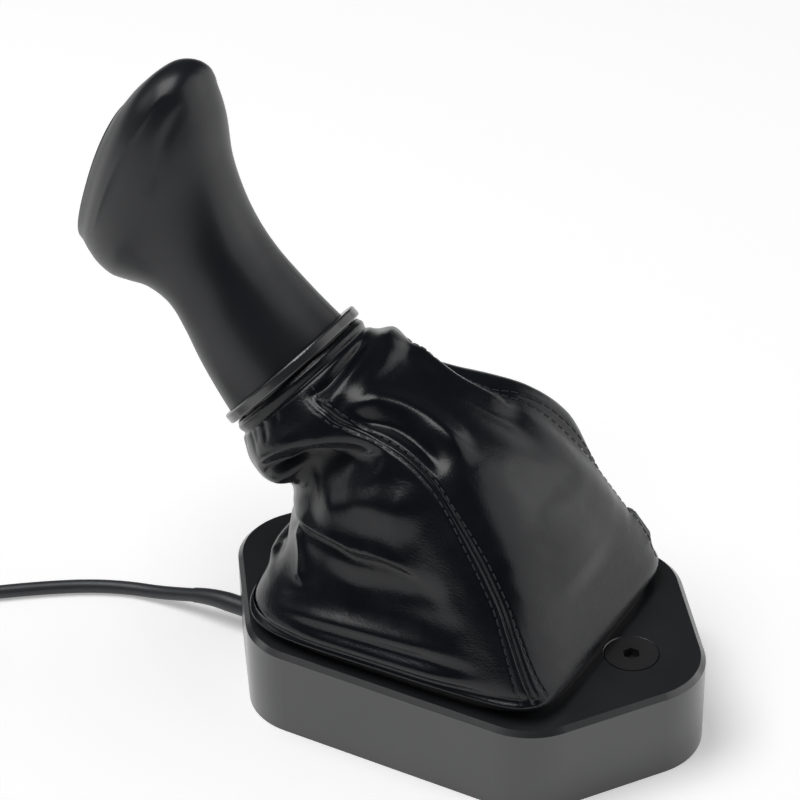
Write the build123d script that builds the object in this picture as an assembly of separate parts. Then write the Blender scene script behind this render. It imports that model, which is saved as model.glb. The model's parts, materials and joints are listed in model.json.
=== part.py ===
from build123d import *
from math import cos, pi, radians, sin, sqrt, tan
import os

# Handbrake controller: a six-sided metal base, a leather boot and a leaning lever with a hooked grip.
# Origin at the centre of the base's underside. +Z is up, the lever leans towards -X and is pulled
# towards +X, and the part is symmetric about the plane y = 0 apart from its electronics and cable.
# Lengths are millimetres, angles are degrees.

# Fits
RUNNING_GAP = 0.03
SEAT_GAP = 0.02
SIDE_GAP = 0.3
SOFT_GAP = 0.3

# Base housing
base_height = 31.1
base_half_width = 53.6
base_side_half = 50.8
base_tip_half = 89.2
base_corner_r = 23.8
base_chamfer = 1.6
base_wall = 8.0
deck_thickness = 5.0
plate_thickness = 5.0
plate_lip = 4.0
plate_gap = 0.2

# Countersunk screws of the deck
deck_screw_x = 60.0
deck_screw_r = 4.0
deck_screw_head_r = 8.6
deck_screw_flat = 0.5
deck_screw_socket = 5.0
deck_screw_socket_depth = 3.0
countersink_margin = 0.5
pillar_r = 8.0

# Screws of the bottom plate and the tapped holes that a rig bolts into
plate_screw_x = 43.0
plate_screw_from_side = 14.1
plate_screw_r = 2.0
plate_screw_head_r = 3.8
plate_screw_reach = 8.0
boss_r = 5.0
rig_hole_spacing_x = 80.0
rig_hole_spacing_y = 60.0
rig_hole_r = 2.5

# Lever geometry
pivot_above_deck = 14.9
lever_lean = 47.5
lever_travel = 20.0
axle_r = 4.0
axle_half_length = 22.5
clip_thickness = 0.8
clip_r = 6.0
clip_groove_depth = 0.25
clip_play = 0.05
hub_r = 13.0
hub_half_width = 11.7
socket_r = 11.0
socket_end = 40.0
socket_floor = 15.0
tube_r = 7.0
tube_wall = 2.0
tube_in_grip = 58.0
fork_gap_half = 3.3
fork_tine = 2.7
fork_half_thickness = 4.5
fork_slot_depth = 8.0
clamp_screw_r = 2.5
clamp_screw_places = (21.0, 32.0)

# Cheeks that carry the axle
cheek_inner = 12.0
cheek_thickness = 6.0
cheek_head_r = 13.0
cheek_rear = 24.0
cheek_nose = -36.0
foot_width = 14.0
foot_thickness = 5.0
foot_screw_r = 2.0
foot_screw_head_r = 3.5
foot_screw_head = 4.0
foot_screw_x = (-29.0, 19.0)
foot_screw_in_foot = 10.0
bearing_r = 8.0
bearing_width = 5.0
bearing_shield_depth = 0.4
bearing_race = 1.2

# Stop bar that the lever rests on
stop_along = 27.0
stop_bar_r = 3.0
stop_sleeve_r = 6.0
stop_screw_r = 2.0
stop_screw_head_r = 3.5
stop_screw_head = 2.2
stop_screw_reach = 9.0
stop_ear_r = 7.0

# Roller, plunger and spring
roller_r = 6.0
roller_pin_r = 2.0
contact_gap = 0.2
flange_r = 8.0
flange_thickness = 4.0
rod_r = 4.0
rod_tail = 6.0
guide_length = 8.0
guide_half_width = 12.0
guide_bush_r = 6.0
guide_screw_y = 8.8
guide_screw_r = 1.5
guide_screw_head_r = 2.75
guide_screw_head = 3.0
guide_screw_bite = 3.0
spring_length = 19.0
spring_wire_r = 0.8
spring_mean_r = 7.0
spring_turns = 4.5
bumper_r = 5.8
bumper_bore_r = 4.3
bumper_margin = 0.3
rod_nut_r = 6.5
rod_nut_thickness = 4.0
spring_deck_gap = 2.072

# Deck slot for the lever's lower arm
slot_half_length = 13.0
slot_half_width = 9.0

# Collar under the grip
collar_along = 83.85
collar_r = 27.25
collar_thickness = 3.7
spigot_r = 22.3
spigot_length = 13.8
spigot_wall = 3.0
spigot_web = 3.0
lock_nut_r = 12.0
lock_nut_thickness = 6.0

# Leather boot: thickness, the plastic frame at its foot and the hem on the collar's spigot
leather = 1.2
frame_centre_x = -5.0
frame_half_length = 55.5
frame_from_side = 6.1
frame_rear_squareness = 5.5
frame_band = 9.0
frame_height = 4.0
frame_screw_x = 30.0
frame_screw_inset = 5.5
frame_screw_r = 1.5
frame_screw_head_r = 2.75
frame_screw_head = 2.0
frame_screw_bite = 3.0
hem_gap = 0.6
hem_ring_below = 3.2
hem_ring_width = 1.6
hem_ring_height = 0.8
seam_angle_foot = 45.0
seam_angle_hem = 40.0
seam_gap_angle = 0.6
seam_point_step = 7.5

# Rings of the boot between its foot and the collar's skirt. Each ring leans from a nose point to a
# rear point. A point is given by its share of the height between foot and skirt, and by how far it
# stands out from the straight line between them. Then come the ring's half width and the squareness
# of its nose half and its rear half: 2 is round and more is squarer.
foot_nose_squareness = 5.0
foot_rear_squareness = 9.0
boot_rings = (
    (0.208, -2.4, 0.175, 11.5, 49.0, 4.5, 7.0),
    (0.311, -4.6, 0.334, 19.4, 45.7, 4.0, 6.0),
    (0.403, -6.4, 0.494, 27.8, 41.7, 3.6, 5.0),
    (0.494, -7.9, 0.659, 34.2, 38.0, 3.2, 4.0),
    (0.586, -8.7, 0.826, 36.0, 33.6, 2.9, 3.3),
    (0.666, -7.7, 0.914, 32.6, 29.7, 2.6, 2.7),
    (0.769, -3.4, 1.0, 8.2, 28.0, 2.2, 2.2),
)

# Grip: distance above the collar, tilt of the section, its front and rear reach from the lever's
# axis, and its half width. The tilt turns about a line that lies grip_hinge behind the axis.
grip_hinge = 10.0
grip_squareness = 2.4
grip_sections = (
    (0.0, 0.0, -24.5, 21.0, 22.0),
    (9.4, 0.0, -22.7, 20.5, 21.0),
    (19.4, 0.0, -20.4, 20.6, 19.7),
    (29.4, 0.0, -17.2, 21.2, 18.4),
    (39.4, 2.0, -15.1, 23.0, 18.1),
    (49.4, 5.0, -18.4, 28.0, 17.8),
    (58.4, 9.0, -24.5, 35.3, 18.5),
    (66.4, 13.0, -28.9, 46.0, 20.2),
    (74.4, 16.0, -31.0, 53.0, 20.6),
    (81.4, 19.0, -31.6, 48.1, 19.0),
    (86.4, 21.0, -32.2, 36.0, 16.0),
    (89.9, 22.0, -33.0, 24.0, 13.6),
)
grip_insert_r = 10.0
grip_insert_start = 2.0
grip_insert_length = 40.0
grip_bore_spare = 2.0

# Position sensor at the axle's end
magnet_r = 3.0
magnet_thickness = 2.5
sensor_spacer_length = 8.0
sensor_spacer_r = 2.5
sensor_spacer_x = 9.0
sensor_spacer_below = 7.0
sensor_screw_r = 1.25
sensor_screw_head_r = 2.25
sensor_screw_head = 1.6
sensor_screw_bite = 4.0
board_thickness = 1.6
sensor_board_half_x = 12.0
sensor_board_below = 10.5
sensor_board_above = 9.5
sensor_chip_size = 5.0
sensor_chip_thickness = 1.5
sensor_plug_half = 4.0
sensor_plug_height = 5.0
sensor_plug_depth = 5.0

# Controller board on the bottom plate
board_half_x = 25.0
board_half_y = 11.0
board_wall_gap = 3.6
standoff_r = 2.5
standoff_height = 4.0
board_hole_inset = 3.0
board_screw_r = 1.25
board_screw_head_r = 2.2
board_screw_head = 1.5
chip_size = 10.0
chip_thickness = 1.2
header_half = 4.0
header_height = 6.0

# Leads inside the part
lead_r = 1.2
grommet_r = 3.0
grommet_rim_r = 3.8
grommet_rim = 0.8

# Cable and its strain relief
cable_r = 2.4
cable_y = -14.0
cable_z = 9.6
relief_r = 3.3
relief_hole_r = 3.4
relief_flange_r = 4.4
relief_flange = 2.5
relief_pocket_r = 4.6
relief_pocket_depth = 12.0
relief_seat_x = -72.0
relief_taper_from = -84.0
relief_droop = 16.0
relief_taper_reach = 14.0
relief_tip_r = 2.6
inner_cable_straight = 9.0

# Coil of the stored length and the plug on it
coil_columns = 4
coil_layers = 2
coil_lift = 0.05
coil_mean_r = 26.4
coil_x = -177.0
coil_y = -93.0
plug_body = (22.0, 15.6, 8.4)
plug_shell = (12.0, 12.0, 4.5)
plug_shell_wall = 0.4
plug_tongue = (9.0, 10.8, 1.6)
plug_neck_r = 3.4
plug_neck_length = 8.0

# Values that follow from the sizes above
deck_top = base_height
deck_under = base_height - deck_thickness
pivot_z = deck_top + pivot_above_deck
half_travel = lever_travel / 2
plunger_z = deck_under - spring_deck_gap - spring_wire_r - spring_mean_r
arm_length = 2 * (pivot_z - plunger_z) / (1 + cos(radians(half_travel)))
roller_x = arm_length * sin(radians(half_travel))
roller_z = pivot_z - arm_length * cos(radians(half_travel))
plunger_travel = 2 * arm_length * sin(radians(half_travel))
flange_face_x = roller_x - roller_r - contact_gap
flange_back_x = flange_face_x - flange_thickness
guide_front_x = flange_back_x - spring_length
guide_back_x = guide_front_x - guide_length
rod_end_x = guide_back_x - rod_tail
plate_screw_y = base_half_width - plate_screw_from_side
frame_half_width = base_half_width - frame_from_side
board_y = -(base_half_width - base_wall - board_wall_gap - board_half_y)
cheek_outer = cheek_inner + cheek_thickness
collar_top = collar_along + collar_thickness
tube_end = collar_top + tube_in_grip
sensor_face = -cheek_outer - sensor_spacer_length
sensor_outer = sensor_face - board_thickness
lead_y = sensor_outer - sensor_plug_depth / 2
axis_dir = Vector(-sin(radians(lever_lean)), 0, cos(radians(lever_lean)))
rear_dir = Vector(cos(radians(lever_lean)), 0, sin(radians(lever_lean)))
pivot = Vector(0, 0, pivot_z)
lever_plane = Plane(origin=pivot, x_dir=rear_dir, z_dir=axis_dir)

nodes = {}


def cylinder_x(radius, x0, x1, y=0.0, z=0.0):
    """A cylinder along X from x0 to x1."""
    low, high = min(x0, x1), max(x0, x1)
    return Plane(origin=(low, y, z), x_dir=(0, 1, 0), z_dir=(1, 0, 0)) * extrude(Circle(radius), high - low)


def cylinder_y(radius, y0, y1, x=0.0, z=0.0):
    """A cylinder along Y from y0 to y1."""
    low, high = min(y0, y1), max(y0, y1)
    return Plane(origin=(x, low, z), x_dir=(1, 0, 0), z_dir=(0, 1, 0)) * extrude(Circle(radius), high - low)


def cylinder_z(radius, z0, z1, x=0.0, y=0.0):
    """A cylinder along Z from z0 to z1."""
    return Pos(x, y, min(z0, z1)) * extrude(Circle(radius), abs(z1 - z0))


def block(x0, x1, y0, y1, z0, z1):
    """A box between two corners."""
    return Pos((x0 + x1) / 2, (y0 + y1) / 2, (z0 + z1) / 2) * Box(abs(x1 - x0), abs(y1 - y0), abs(z1 - z0))


def cone_z(r0, r1, z0, z1, x=0.0, y=0.0):
    """A cone along Z with radius r0 at z0 and r1 at z1."""
    return Pos(x, y, (z0 + z1) / 2) * Cone(r0, r1, z1 - z0)


def along_lever(radius, start, end):
    """A cylinder on the lever's axis, between two distances from the pivot."""
    return lever_plane * Pos(0, 0, start) * extrude(Circle(radius), end - start)


def hexagon(inset):
    """The base's outline, drawn in by inset, with rounded corners."""
    facet = sqrt(base_half_width ** 2 + (base_tip_half - base_side_half) ** 2)
    reach = base_tip_half * base_half_width - inset * facet
    width = base_half_width - inset
    tip = reach / base_half_width
    side = (reach - width * (base_tip_half - base_side_half)) / base_half_width
    corners = [(tip, 0), (side, width), (-side, width), (-tip, 0), (-side, -width), (side, -width)]
    face = make_face(Polyline(*corners, close=True))
    return fillet(face.vertices(), max(base_corner_r - inset, 1.0))


def mirrored_y(shape):
    """The shape and its mirror image across the plane y = 0."""
    return [shape, mirror(shape, about=Plane.XZ)]


def socket_head(radius, height, socket_r):
    """A cap screw head standing on z = 0, with a six-sided socket."""
    head = cylinder_z(radius, 0, height)
    socket = Pos(0, 0, height * 0.45) * extrude(RegularPolygon(socket_r, 6), height)
    return head - socket


def group(name, shapes):
    """Keep separate solids together as one node."""
    solids = []
    for shape in shapes:
        solids.extend(shape.solids())
    nodes[name] = Compound(children=solids)


# Base housing: pillars for the deck screws, bosses for the plate screws
housing = extrude(hexagon(0), base_height)
top_edges = housing.faces().sort_by(Axis.Z)[-1].edges()
housing = chamfer(top_edges, base_chamfer)
housing -= Pos(0, 0, plate_thickness) * extrude(hexagon(base_wall), deck_under - plate_thickness)
housing -= extrude(hexagon(plate_lip), plate_thickness)
deck_screw_spots = [(-deck_screw_x, 0), (deck_screw_x, 0)]
plate_screw_spots = [(sx * plate_screw_x, sy * plate_screw_y) for sx in (-1, 1) for sy in (-1, 1)]
cavity_zone = Pos(0, 0, plate_thickness) * extrude(hexagon(base_wall - 1), deck_under - plate_thickness)
for x, y in deck_screw_spots:
    housing += cylinder_z(pillar_r, plate_thickness, deck_under, x, y)
for x, y in plate_screw_spots:
    housing += cylinder_z(boss_r, plate_thickness, deck_under, x, y) & cavity_zone
countersink_r = deck_screw_head_r + countersink_margin
countersink_depth = countersink_r - deck_screw_r - SEAT_GAP
for x, y in deck_screw_spots:
    housing -= cylinder_z(deck_screw_r + SEAT_GAP, plate_thickness, deck_top, x, y)
    housing -= cone_z(deck_screw_r + SEAT_GAP, countersink_r, deck_top - countersink_depth, deck_top, x, y)
plate_screw_top = plate_thickness + plate_screw_reach
for x, y in plate_screw_spots:
    housing -= cylinder_z(plate_screw_r + SEAT_GAP, plate_thickness, plate_screw_top, x, y)
housing -= block(-slot_half_length, slot_half_length, -slot_half_width, slot_half_width, deck_under, deck_top)
foot_screw_y = cheek_inner + foot_screw_in_foot
foot_screw_spots = [(x, sy * foot_screw_y) for x in foot_screw_x for sy in (-1, 1)]
for x, y in foot_screw_spots:
    housing -= cylinder_z(foot_screw_r + SEAT_GAP, deck_under, deck_top, x, y)
frame_screw_y = frame_half_width - frame_screw_inset
frame_screw_spots = [(sx * frame_screw_x, sy * frame_screw_y) for sx in (-1, 1) for sy in (-1, 1)]
for x, y in frame_screw_spots:
    housing -= cylinder_z(frame_screw_r + SEAT_GAP, deck_under, deck_top, x, y)
housing -= cylinder_z(grommet_r + SEAT_GAP, deck_under, deck_top, 0, lead_y)
guide_mid_x = (guide_front_x + guide_back_x) / 2
guide_screw_spots = [(guide_mid_x, -guide_screw_y), (guide_mid_x, guide_screw_y)]
for x, y in guide_screw_spots:
    housing -= cylinder_z(guide_screw_r + SEAT_GAP, deck_under, deck_under + guide_screw_bite, x, y)
housing -= cylinder_x(relief_hole_r, -base_tip_half, relief_seat_x, cable_y, cable_z)
housing -= cylinder_x(relief_pocket_r, relief_seat_x, relief_seat_x + relief_pocket_depth, cable_y, cable_z)
nodes["base_housing"] = housing

# Bottom plate with tapped holes
plate = extrude(hexagon(plate_lip + plate_gap), plate_thickness)
rig_hole_x = rig_hole_spacing_x / 2
rig_hole_y = rig_hole_spacing_y / 2
rig_hole_spots = [(sx * rig_hole_x, sy * rig_hole_y) for sx in (-1, 1) for sy in (-1, 1)]
for x, y in rig_hole_spots:
    plate -= cylinder_z(rig_hole_r, 0, plate_thickness, x, y)
for x, y in deck_screw_spots:
    plate -= cylinder_z(deck_screw_r + SEAT_GAP, 0, plate_thickness, x, y)
plate_sink = plate_screw_head_r - plate_screw_r
for x, y in plate_screw_spots:
    plate -= cylinder_z(plate_screw_r + SEAT_GAP, 0, plate_thickness, x, y)
    plate -= cone_z(plate_screw_head_r + SEAT_GAP, plate_screw_r + SEAT_GAP, 0, plate_sink, x, y)
board_hole_spots = [
    (sx * (board_half_x - board_hole_inset), board_y + sy * (board_half_y - board_hole_inset))
    for sx in (-1, 1)
    for sy in (-1, 1)
]
nodes["bottom_plate"] = plate

# Screws of the base
deck_head_depth = deck_screw_head_r - deck_screw_r
deck_screw_length = deck_top - deck_head_depth - deck_screw_flat
deck_screw_bottom = 1.0
deck_screws = []
for x, y in deck_screw_spots:
    screw = cylinder_z(deck_screw_r, deck_screw_bottom, deck_screw_length, x, y)
    screw += cone_z(deck_screw_r, deck_screw_head_r, deck_screw_length, deck_top - deck_screw_flat, x, y)
    screw += cylinder_z(deck_screw_head_r, deck_top - deck_screw_flat, deck_top, x, y)
    socket = Pos(x, y, deck_top - deck_screw_socket_depth) * extrude(
        RegularPolygon(deck_screw_socket / 2, 6, major_radius=False), deck_screw_socket_depth
    )
    deck_screws.append(screw - socket)
group("deck_screws", deck_screws)
plate_screws = []
for x, y in plate_screw_spots:
    screw = cone_z(plate_screw_head_r, plate_screw_r, 0, plate_sink, x, y)
    screw += cylinder_z(plate_screw_r, plate_sink, plate_thickness + plate_screw_reach - 1, x, y)
    screw -= Pos(x, y, 0) * extrude(RegularPolygon(plate_screw_r * 0.6, 6), plate_sink * 0.8)
    plate_screws.append(screw)
group("plate_screws", plate_screws)

# Cheeks: a foot on the deck, a head around the axle and an ear for the stop bar
stop_reach = socket_r + stop_sleeve_r + contact_gap
stop_centre = pivot + axis_dir * stop_along - rear_dir * stop_reach
cheek_foot = Pos((cheek_nose + cheek_rear) / 2, deck_top + foot_thickness / 2) * Rectangle(
    cheek_rear - cheek_nose, foot_thickness
)
cheek_head = Pos(0, pivot_z) * Circle(cheek_head_r)
cheek_ear = Pos(stop_centre.X, stop_centre.Z) * Circle(stop_ear_r)
cheek_outline = make_hull(cheek_foot.edges() + cheek_head.edges() + cheek_ear.edges())
cheek = Plane.XZ * extrude(cheek_outline, -cheek_thickness)
cheek = Pos(0, cheek_inner, 0) * cheek
foot_outer = cheek_inner + foot_width
cheek += block(cheek_nose, cheek_rear, cheek_inner, foot_outer, deck_top, deck_top + foot_thickness)
cheek -= cylinder_y(bearing_r + SEAT_GAP, cheek_inner, cheek_inner + bearing_width, 0, pivot_z)
cheek -= cylinder_y(bearing_r - bearing_race, cheek_inner, cheek_outer, 0, pivot_z)
cheek -= cylinder_y(stop_screw_r + SEAT_GAP, cheek_inner, cheek_outer, stop_centre.X, stop_centre.Z)
for x in foot_screw_x:
    cheek -= cylinder_z(foot_screw_r + SEAT_GAP, deck_top, deck_top + foot_thickness, x, foot_screw_y)
left_cheek = cheek
right_cheek = mirror(cheek, about=Plane.XZ)
spacer_z = pivot_z - sensor_spacer_below
for sx in (-1, 1):
    right_cheek -= cylinder_y(
        sensor_screw_r + SEAT_GAP,
        -cheek_outer,
        -cheek_outer + sensor_screw_bite,
        sx * sensor_spacer_x,
        spacer_z,
    )
nodes["left_cheek"] = left_cheek
nodes["right_cheek"] = right_cheek
cheek_screws = []
for x, y in foot_screw_spots:
    shank = cylinder_z(foot_screw_r, deck_under + 0.5, deck_top + foot_thickness, x, y)
    head = Pos(x, y, deck_top + foot_thickness) * socket_head(foot_screw_head_r, foot_screw_head, 1.7)
    cheek_screws.append(shank + head)
group("cheek_screws", cheek_screws)

# Bearings in the cheeks
bearing = cylinder_y(bearing_r, cheek_inner, cheek_inner + bearing_width, 0, pivot_z)
bearing -= cylinder_y(axle_r + RUNNING_GAP, cheek_inner, cheek_inner + bearing_width, 0, pivot_z)
shield_floor = cheek_inner + bearing_shield_depth
shield_groove = cylinder_y(bearing_r - bearing_race, cheek_inner, shield_floor, 0, pivot_z)
shield_groove -= cylinder_y(axle_r + bearing_race, cheek_inner, shield_floor, 0, pivot_z)
bearing -= shield_groove
group("pivot_bearings", mirrored_y(bearing))

# Stop bar with its rubber sleeve and end screws
stop_bar = cylinder_y(stop_bar_r, -cheek_inner, cheek_inner, stop_centre.X, stop_centre.Z)
for sy in (-1, 1):
    stop_bar -= cylinder_y(
        stop_screw_r + SEAT_GAP,
        sy * cheek_inner,
        sy * (cheek_inner - stop_screw_reach),
        stop_centre.X,
        stop_centre.Z,
    )
nodes["stop_bar"] = stop_bar
sleeve_half = cheek_inner - SIDE_GAP
stop_sleeve = cylinder_y(stop_sleeve_r, -sleeve_half, sleeve_half, stop_centre.X, stop_centre.Z)
stop_sleeve -= cylinder_y(stop_bar_r + SEAT_GAP, -sleeve_half, sleeve_half, stop_centre.X, stop_centre.Z)
nodes["stop_sleeve"] = stop_sleeve
stop_shank = cylinder_y(
    stop_screw_r, cheek_inner - stop_screw_reach + 1, cheek_outer, stop_centre.X, stop_centre.Z
)
stop_head_end = cheek_outer + stop_screw_head
stop_head = cylinder_y(stop_screw_head_r, cheek_outer, stop_head_end, stop_centre.X, stop_centre.Z)
group("stop_screws", mirrored_y(stop_shank + stop_head))

# Lever hub: one piece with the socket for the tube and the forked lower arm
hub = cylinder_y(hub_r, -hub_half_width, hub_half_width, 0, pivot_z)
hub += along_lever(socket_r, 0, socket_end)
fork_half_width = fork_gap_half + fork_tine
arm_frame = Pos(0, 0, pivot_z) * Rot(0, -half_travel, 0)
arm = block(
    -fork_half_thickness,
    fork_half_thickness,
    -fork_half_width,
    fork_half_width,
    -arm_length + fork_slot_depth,
    0,
)
tine = block(
    -fork_half_thickness,
    fork_half_thickness,
    fork_gap_half,
    fork_half_width,
    -arm_length,
    -fork_slot_depth,
)
tine += cylinder_y(fork_half_thickness, fork_gap_half, fork_half_width, 0, -arm_length)
hub += arm_frame * arm
for shape in mirrored_y(tine):
    hub += arm_frame * shape
hub -= arm_frame * block(
    -fork_half_thickness,
    fork_half_thickness,
    -fork_gap_half,
    fork_gap_half,
    -arm_length,
    -arm_length + fork_slot_depth,
)
hub -= cylinder_y(axle_r + SEAT_GAP, -hub_half_width, hub_half_width, 0, pivot_z)
hub -= cylinder_y(roller_pin_r + SEAT_GAP, -fork_half_width, fork_half_width, roller_x, roller_z)
hub -= along_lever(tube_r + SEAT_GAP, socket_floor, socket_end)
clamp_bores = [
    lever_plane
    * Plane(origin=(0, 0, along), x_dir=(0, 1, 0), z_dir=(1, 0, 0))
    * Pos(0, 0, tube_r)
    * extrude(Circle(clamp_screw_r + SEAT_GAP), socket_r - tube_r + 1)
    for along in clamp_screw_places
]
for bore in clamp_bores:
    hub -= bore
nodes["lever_hub"] = hub
clamp_screws = []
for along in clamp_screw_places:
    screw = (
        lever_plane
        * Plane(origin=(0, 0, along), x_dir=(0, 1, 0), z_dir=(1, 0, 0))
        * Pos(0, 0, tube_r + SEAT_GAP)
        * (
            extrude(Circle(clamp_screw_r), socket_r - tube_r - 0.5)
            - Pos(0, 0, 1.5) * extrude(RegularPolygon(clamp_screw_r * 0.55, 6), socket_r - tube_r)
        )
    )
    clamp_screws.append(screw)
group("clamp_screws", clamp_screws)

# Axle with its retaining rings and the sensor's magnet
axle = cylinder_y(axle_r, -axle_half_length, axle_half_length, 0, pivot_z)
clip_from = cheek_outer + SIDE_GAP
clip_to = clip_from + clip_thickness
groove = cylinder_y(axle_r + 1, clip_from, clip_to + clip_play, 0, pivot_z)
groove -= cylinder_y(axle_r - clip_groove_depth, clip_from, clip_to + clip_play, 0, pivot_z)
for shape in mirrored_y(groove):
    axle -= shape
magnet_seat = -axle_half_length + magnet_thickness
axle -= cylinder_y(magnet_r + SEAT_GAP, -axle_half_length, magnet_seat, 0, pivot_z)
nodes["pivot_axle"] = axle
nodes["sensor_magnet"] = cylinder_y(magnet_r, -axle_half_length, magnet_seat, 0, pivot_z)
clip = cylinder_y(clip_r, clip_from, clip_to, 0, pivot_z)
clip -= cylinder_y(axle_r - clip_groove_depth + SEAT_GAP, clip_from, clip_to, 0, pivot_z)
clip -= block(-axle_r * 0.6, axle_r * 0.6, clip_from, clip_to, pivot_z, pivot_z + clip_r + 1)
group("axle_clips", mirrored_y(clip))

# Lever tube
tube = along_lever(tube_r, socket_floor, tube_end) - along_lever(tube_r - tube_wall, socket_floor, tube_end)
nodes["lever_tube"] = tube

# Roller and its pin
roller_half_width = fork_gap_half - SIDE_GAP
roller = cylinder_y(roller_r, -roller_half_width, roller_half_width, roller_x, roller_z)
roller -= cylinder_y(roller_pin_r + RUNNING_GAP, -roller_half_width, roller_half_width, roller_x, roller_z)
nodes["roller"] = roller
nodes["roller_pin"] = cylinder_y(roller_pin_r, -fork_half_width, fork_half_width, roller_x, roller_z)

# Plunger: flange, rod and the nut that sets the preload
rod = cylinder_x(flange_r, flange_back_x, flange_face_x, 0, plunger_z)
rod += cylinder_x(rod_r, rod_end_x, flange_back_x, 0, plunger_z)
nodes["plunger_rod"] = rod
nut_front_x = guide_back_x - SIDE_GAP
nut_plane = Plane(origin=(nut_front_x, 0, plunger_z), x_dir=(0, 1, 0), z_dir=(-1, 0, 0))
rod_nut = nut_plane * extrude(RegularPolygon(rod_nut_r, 6), rod_nut_thickness)
rod_nut -= cylinder_x(rod_r + SEAT_GAP, nut_front_x - rod_nut_thickness, nut_front_x, 0, plunger_z)
nodes["preload_nut"] = rod_nut

# Guide block with its bush and screws
guide_low = plate_thickness + SIDE_GAP
guide = block(guide_back_x, guide_front_x, -guide_half_width, guide_half_width, guide_low, deck_under)
guide -= cylinder_x(guide_bush_r + SEAT_GAP, guide_back_x, guide_front_x, 0, plunger_z)
for x, y in guide_screw_spots:
    guide -= cylinder_z(guide_screw_r + SEAT_GAP, guide_low, deck_under, x, y)
    guide -= cylinder_z(guide_screw_head_r + SEAT_GAP, guide_low, guide_low + guide_screw_head + 0.5, x, y)
nodes["guide_block"] = guide
bush = cylinder_x(guide_bush_r, guide_back_x, guide_front_x, 0, plunger_z)
bush -= cylinder_x(rod_r + RUNNING_GAP, guide_back_x, guide_front_x, 0, plunger_z)
nodes["guide_bush"] = bush
guide_screws = []
for x, y in guide_screw_spots:
    head_top = guide_low + guide_screw_head + 0.5
    screw = cylinder_z(guide_screw_head_r, head_top - guide_screw_head, head_top, x, y)
    screw += cylinder_z(guide_screw_r, head_top, deck_under + guide_screw_bite - 0.5, x, y)
    guide_screws.append(screw)
group("guide_screws", guide_screws)

# Return spring and the elastomer bumper inside it
spring_room = spring_length - 2 * spring_wire_r - 2 * SIDE_GAP
spring_start_x = guide_front_x + spring_wire_r + SIDE_GAP
coil_path = Helix(pitch=spring_room / spring_turns, height=spring_room, radius=spring_mean_r)
coil_start = Plane(origin=coil_path @ 0, z_dir=coil_path % 0)
wire = sweep(coil_start * Circle(spring_wire_r), path=coil_path, is_frenet=True)
spring_plane = Plane(origin=(spring_start_x, 0, plunger_z), x_dir=(0, 1, 0), z_dir=(1, 0, 0))
nodes["return_spring"] = spring_plane * wire
bumper_length = spring_length - plunger_travel - bumper_margin
bumper = cylinder_x(bumper_r, guide_front_x, guide_front_x + bumper_length, 0, plunger_z)
bumper -= cylinder_x(bumper_bore_r, guide_front_x, guide_front_x + bumper_length, 0, plunger_z)
nodes["end_bumper"] = bumper

# Collar, its lock nut and the hem ring on its spigot
spigot_low = collar_along - spigot_length
collar = along_lever(collar_r, collar_along, collar_top)
collar = fillet(collar.edges().filter_by(GeomType.CIRCLE), 0.8)
collar += along_lever(spigot_r, spigot_low, collar_along)
collar -= along_lever(spigot_r - spigot_wall, spigot_low, collar_along - spigot_web)
collar += along_lever(lock_nut_r, spigot_low, collar_along - spigot_web)
collar -= along_lever(tube_r + SEAT_GAP, spigot_low, collar_top)
nodes["boot_collar"] = collar
nut_base = spigot_low - lock_nut_thickness
lock_nut = lever_plane * Pos(0, 0, nut_base) * extrude(RegularPolygon(lock_nut_r, 6), lock_nut_thickness)
lock_nut -= along_lever(tube_r + SEAT_GAP, nut_base, spigot_low)
nodes["lock_nut"] = lock_nut

# Grip: lofted from the sections, with a bore for the tube and its threaded insert


def superellipse(half_length, half_width, squareness, start, end, count):
    """Points of an outline between two angles; 0 points to the rear and 90 to +Y.

    squareness is the exponent of the nose half and of the rear half; 2 is round and more is squarer.
    """
    points = []
    for index in range(count):
        angle = radians(start + (end - start) * index / (count - 1))
        power = 2 / squareness[1 if cos(angle) >= 0 else 0]
        x = half_length * abs(cos(angle)) ** power * (1 if cos(angle) >= 0 else -1)
        y = half_width * abs(sin(angle)) ** power * (1 if sin(angle) >= 0 else -1)
        points.append((x, y))
    return points


def grip_face(height, tilt, front, rear, half_width):
    """One section of the grip on its tilted plane."""
    plane = lever_plane * Pos(grip_hinge, 0, collar_top + SEAT_GAP + height) * Rot(0, -tilt, 0)
    centre = (front + rear) / 2 - grip_hinge
    half = (rear - front) / 2
    points = superellipse(half, half_width, (grip_squareness, grip_squareness), 0, 360, 25)[:-1]
    outline = Spline(*points, periodic=True)
    return plane * Pos(centre, 0, 0) * make_face(outline)


grip = loft([grip_face(*section) for section in grip_sections])
insert_low = collar_top + SEAT_GAP + grip_insert_start
insert_high = insert_low + grip_insert_length
grip -= along_lever(tube_r + SEAT_GAP, collar_top, tube_end + grip_bore_spare)
grip -= along_lever(grip_insert_r + SEAT_GAP, collar_top, insert_high)
nodes["grip"] = grip
grip_insert = along_lever(grip_insert_r, insert_low, insert_high)
grip_insert -= along_lever(tube_r + SEAT_GAP, insert_low, insert_high)
nodes["grip_insert"] = grip_insert

# Boot frame on the deck, held by screws from below


def frame_face(inset):
    """The boot frame's outline, drawn in by inset."""
    squareness = (foot_nose_squareness, frame_rear_squareness)
    points = superellipse(frame_half_length - inset, frame_half_width - inset, squareness, 0, 360, 49)[:-1]
    return make_face(Spline(*points, periodic=True))


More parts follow.
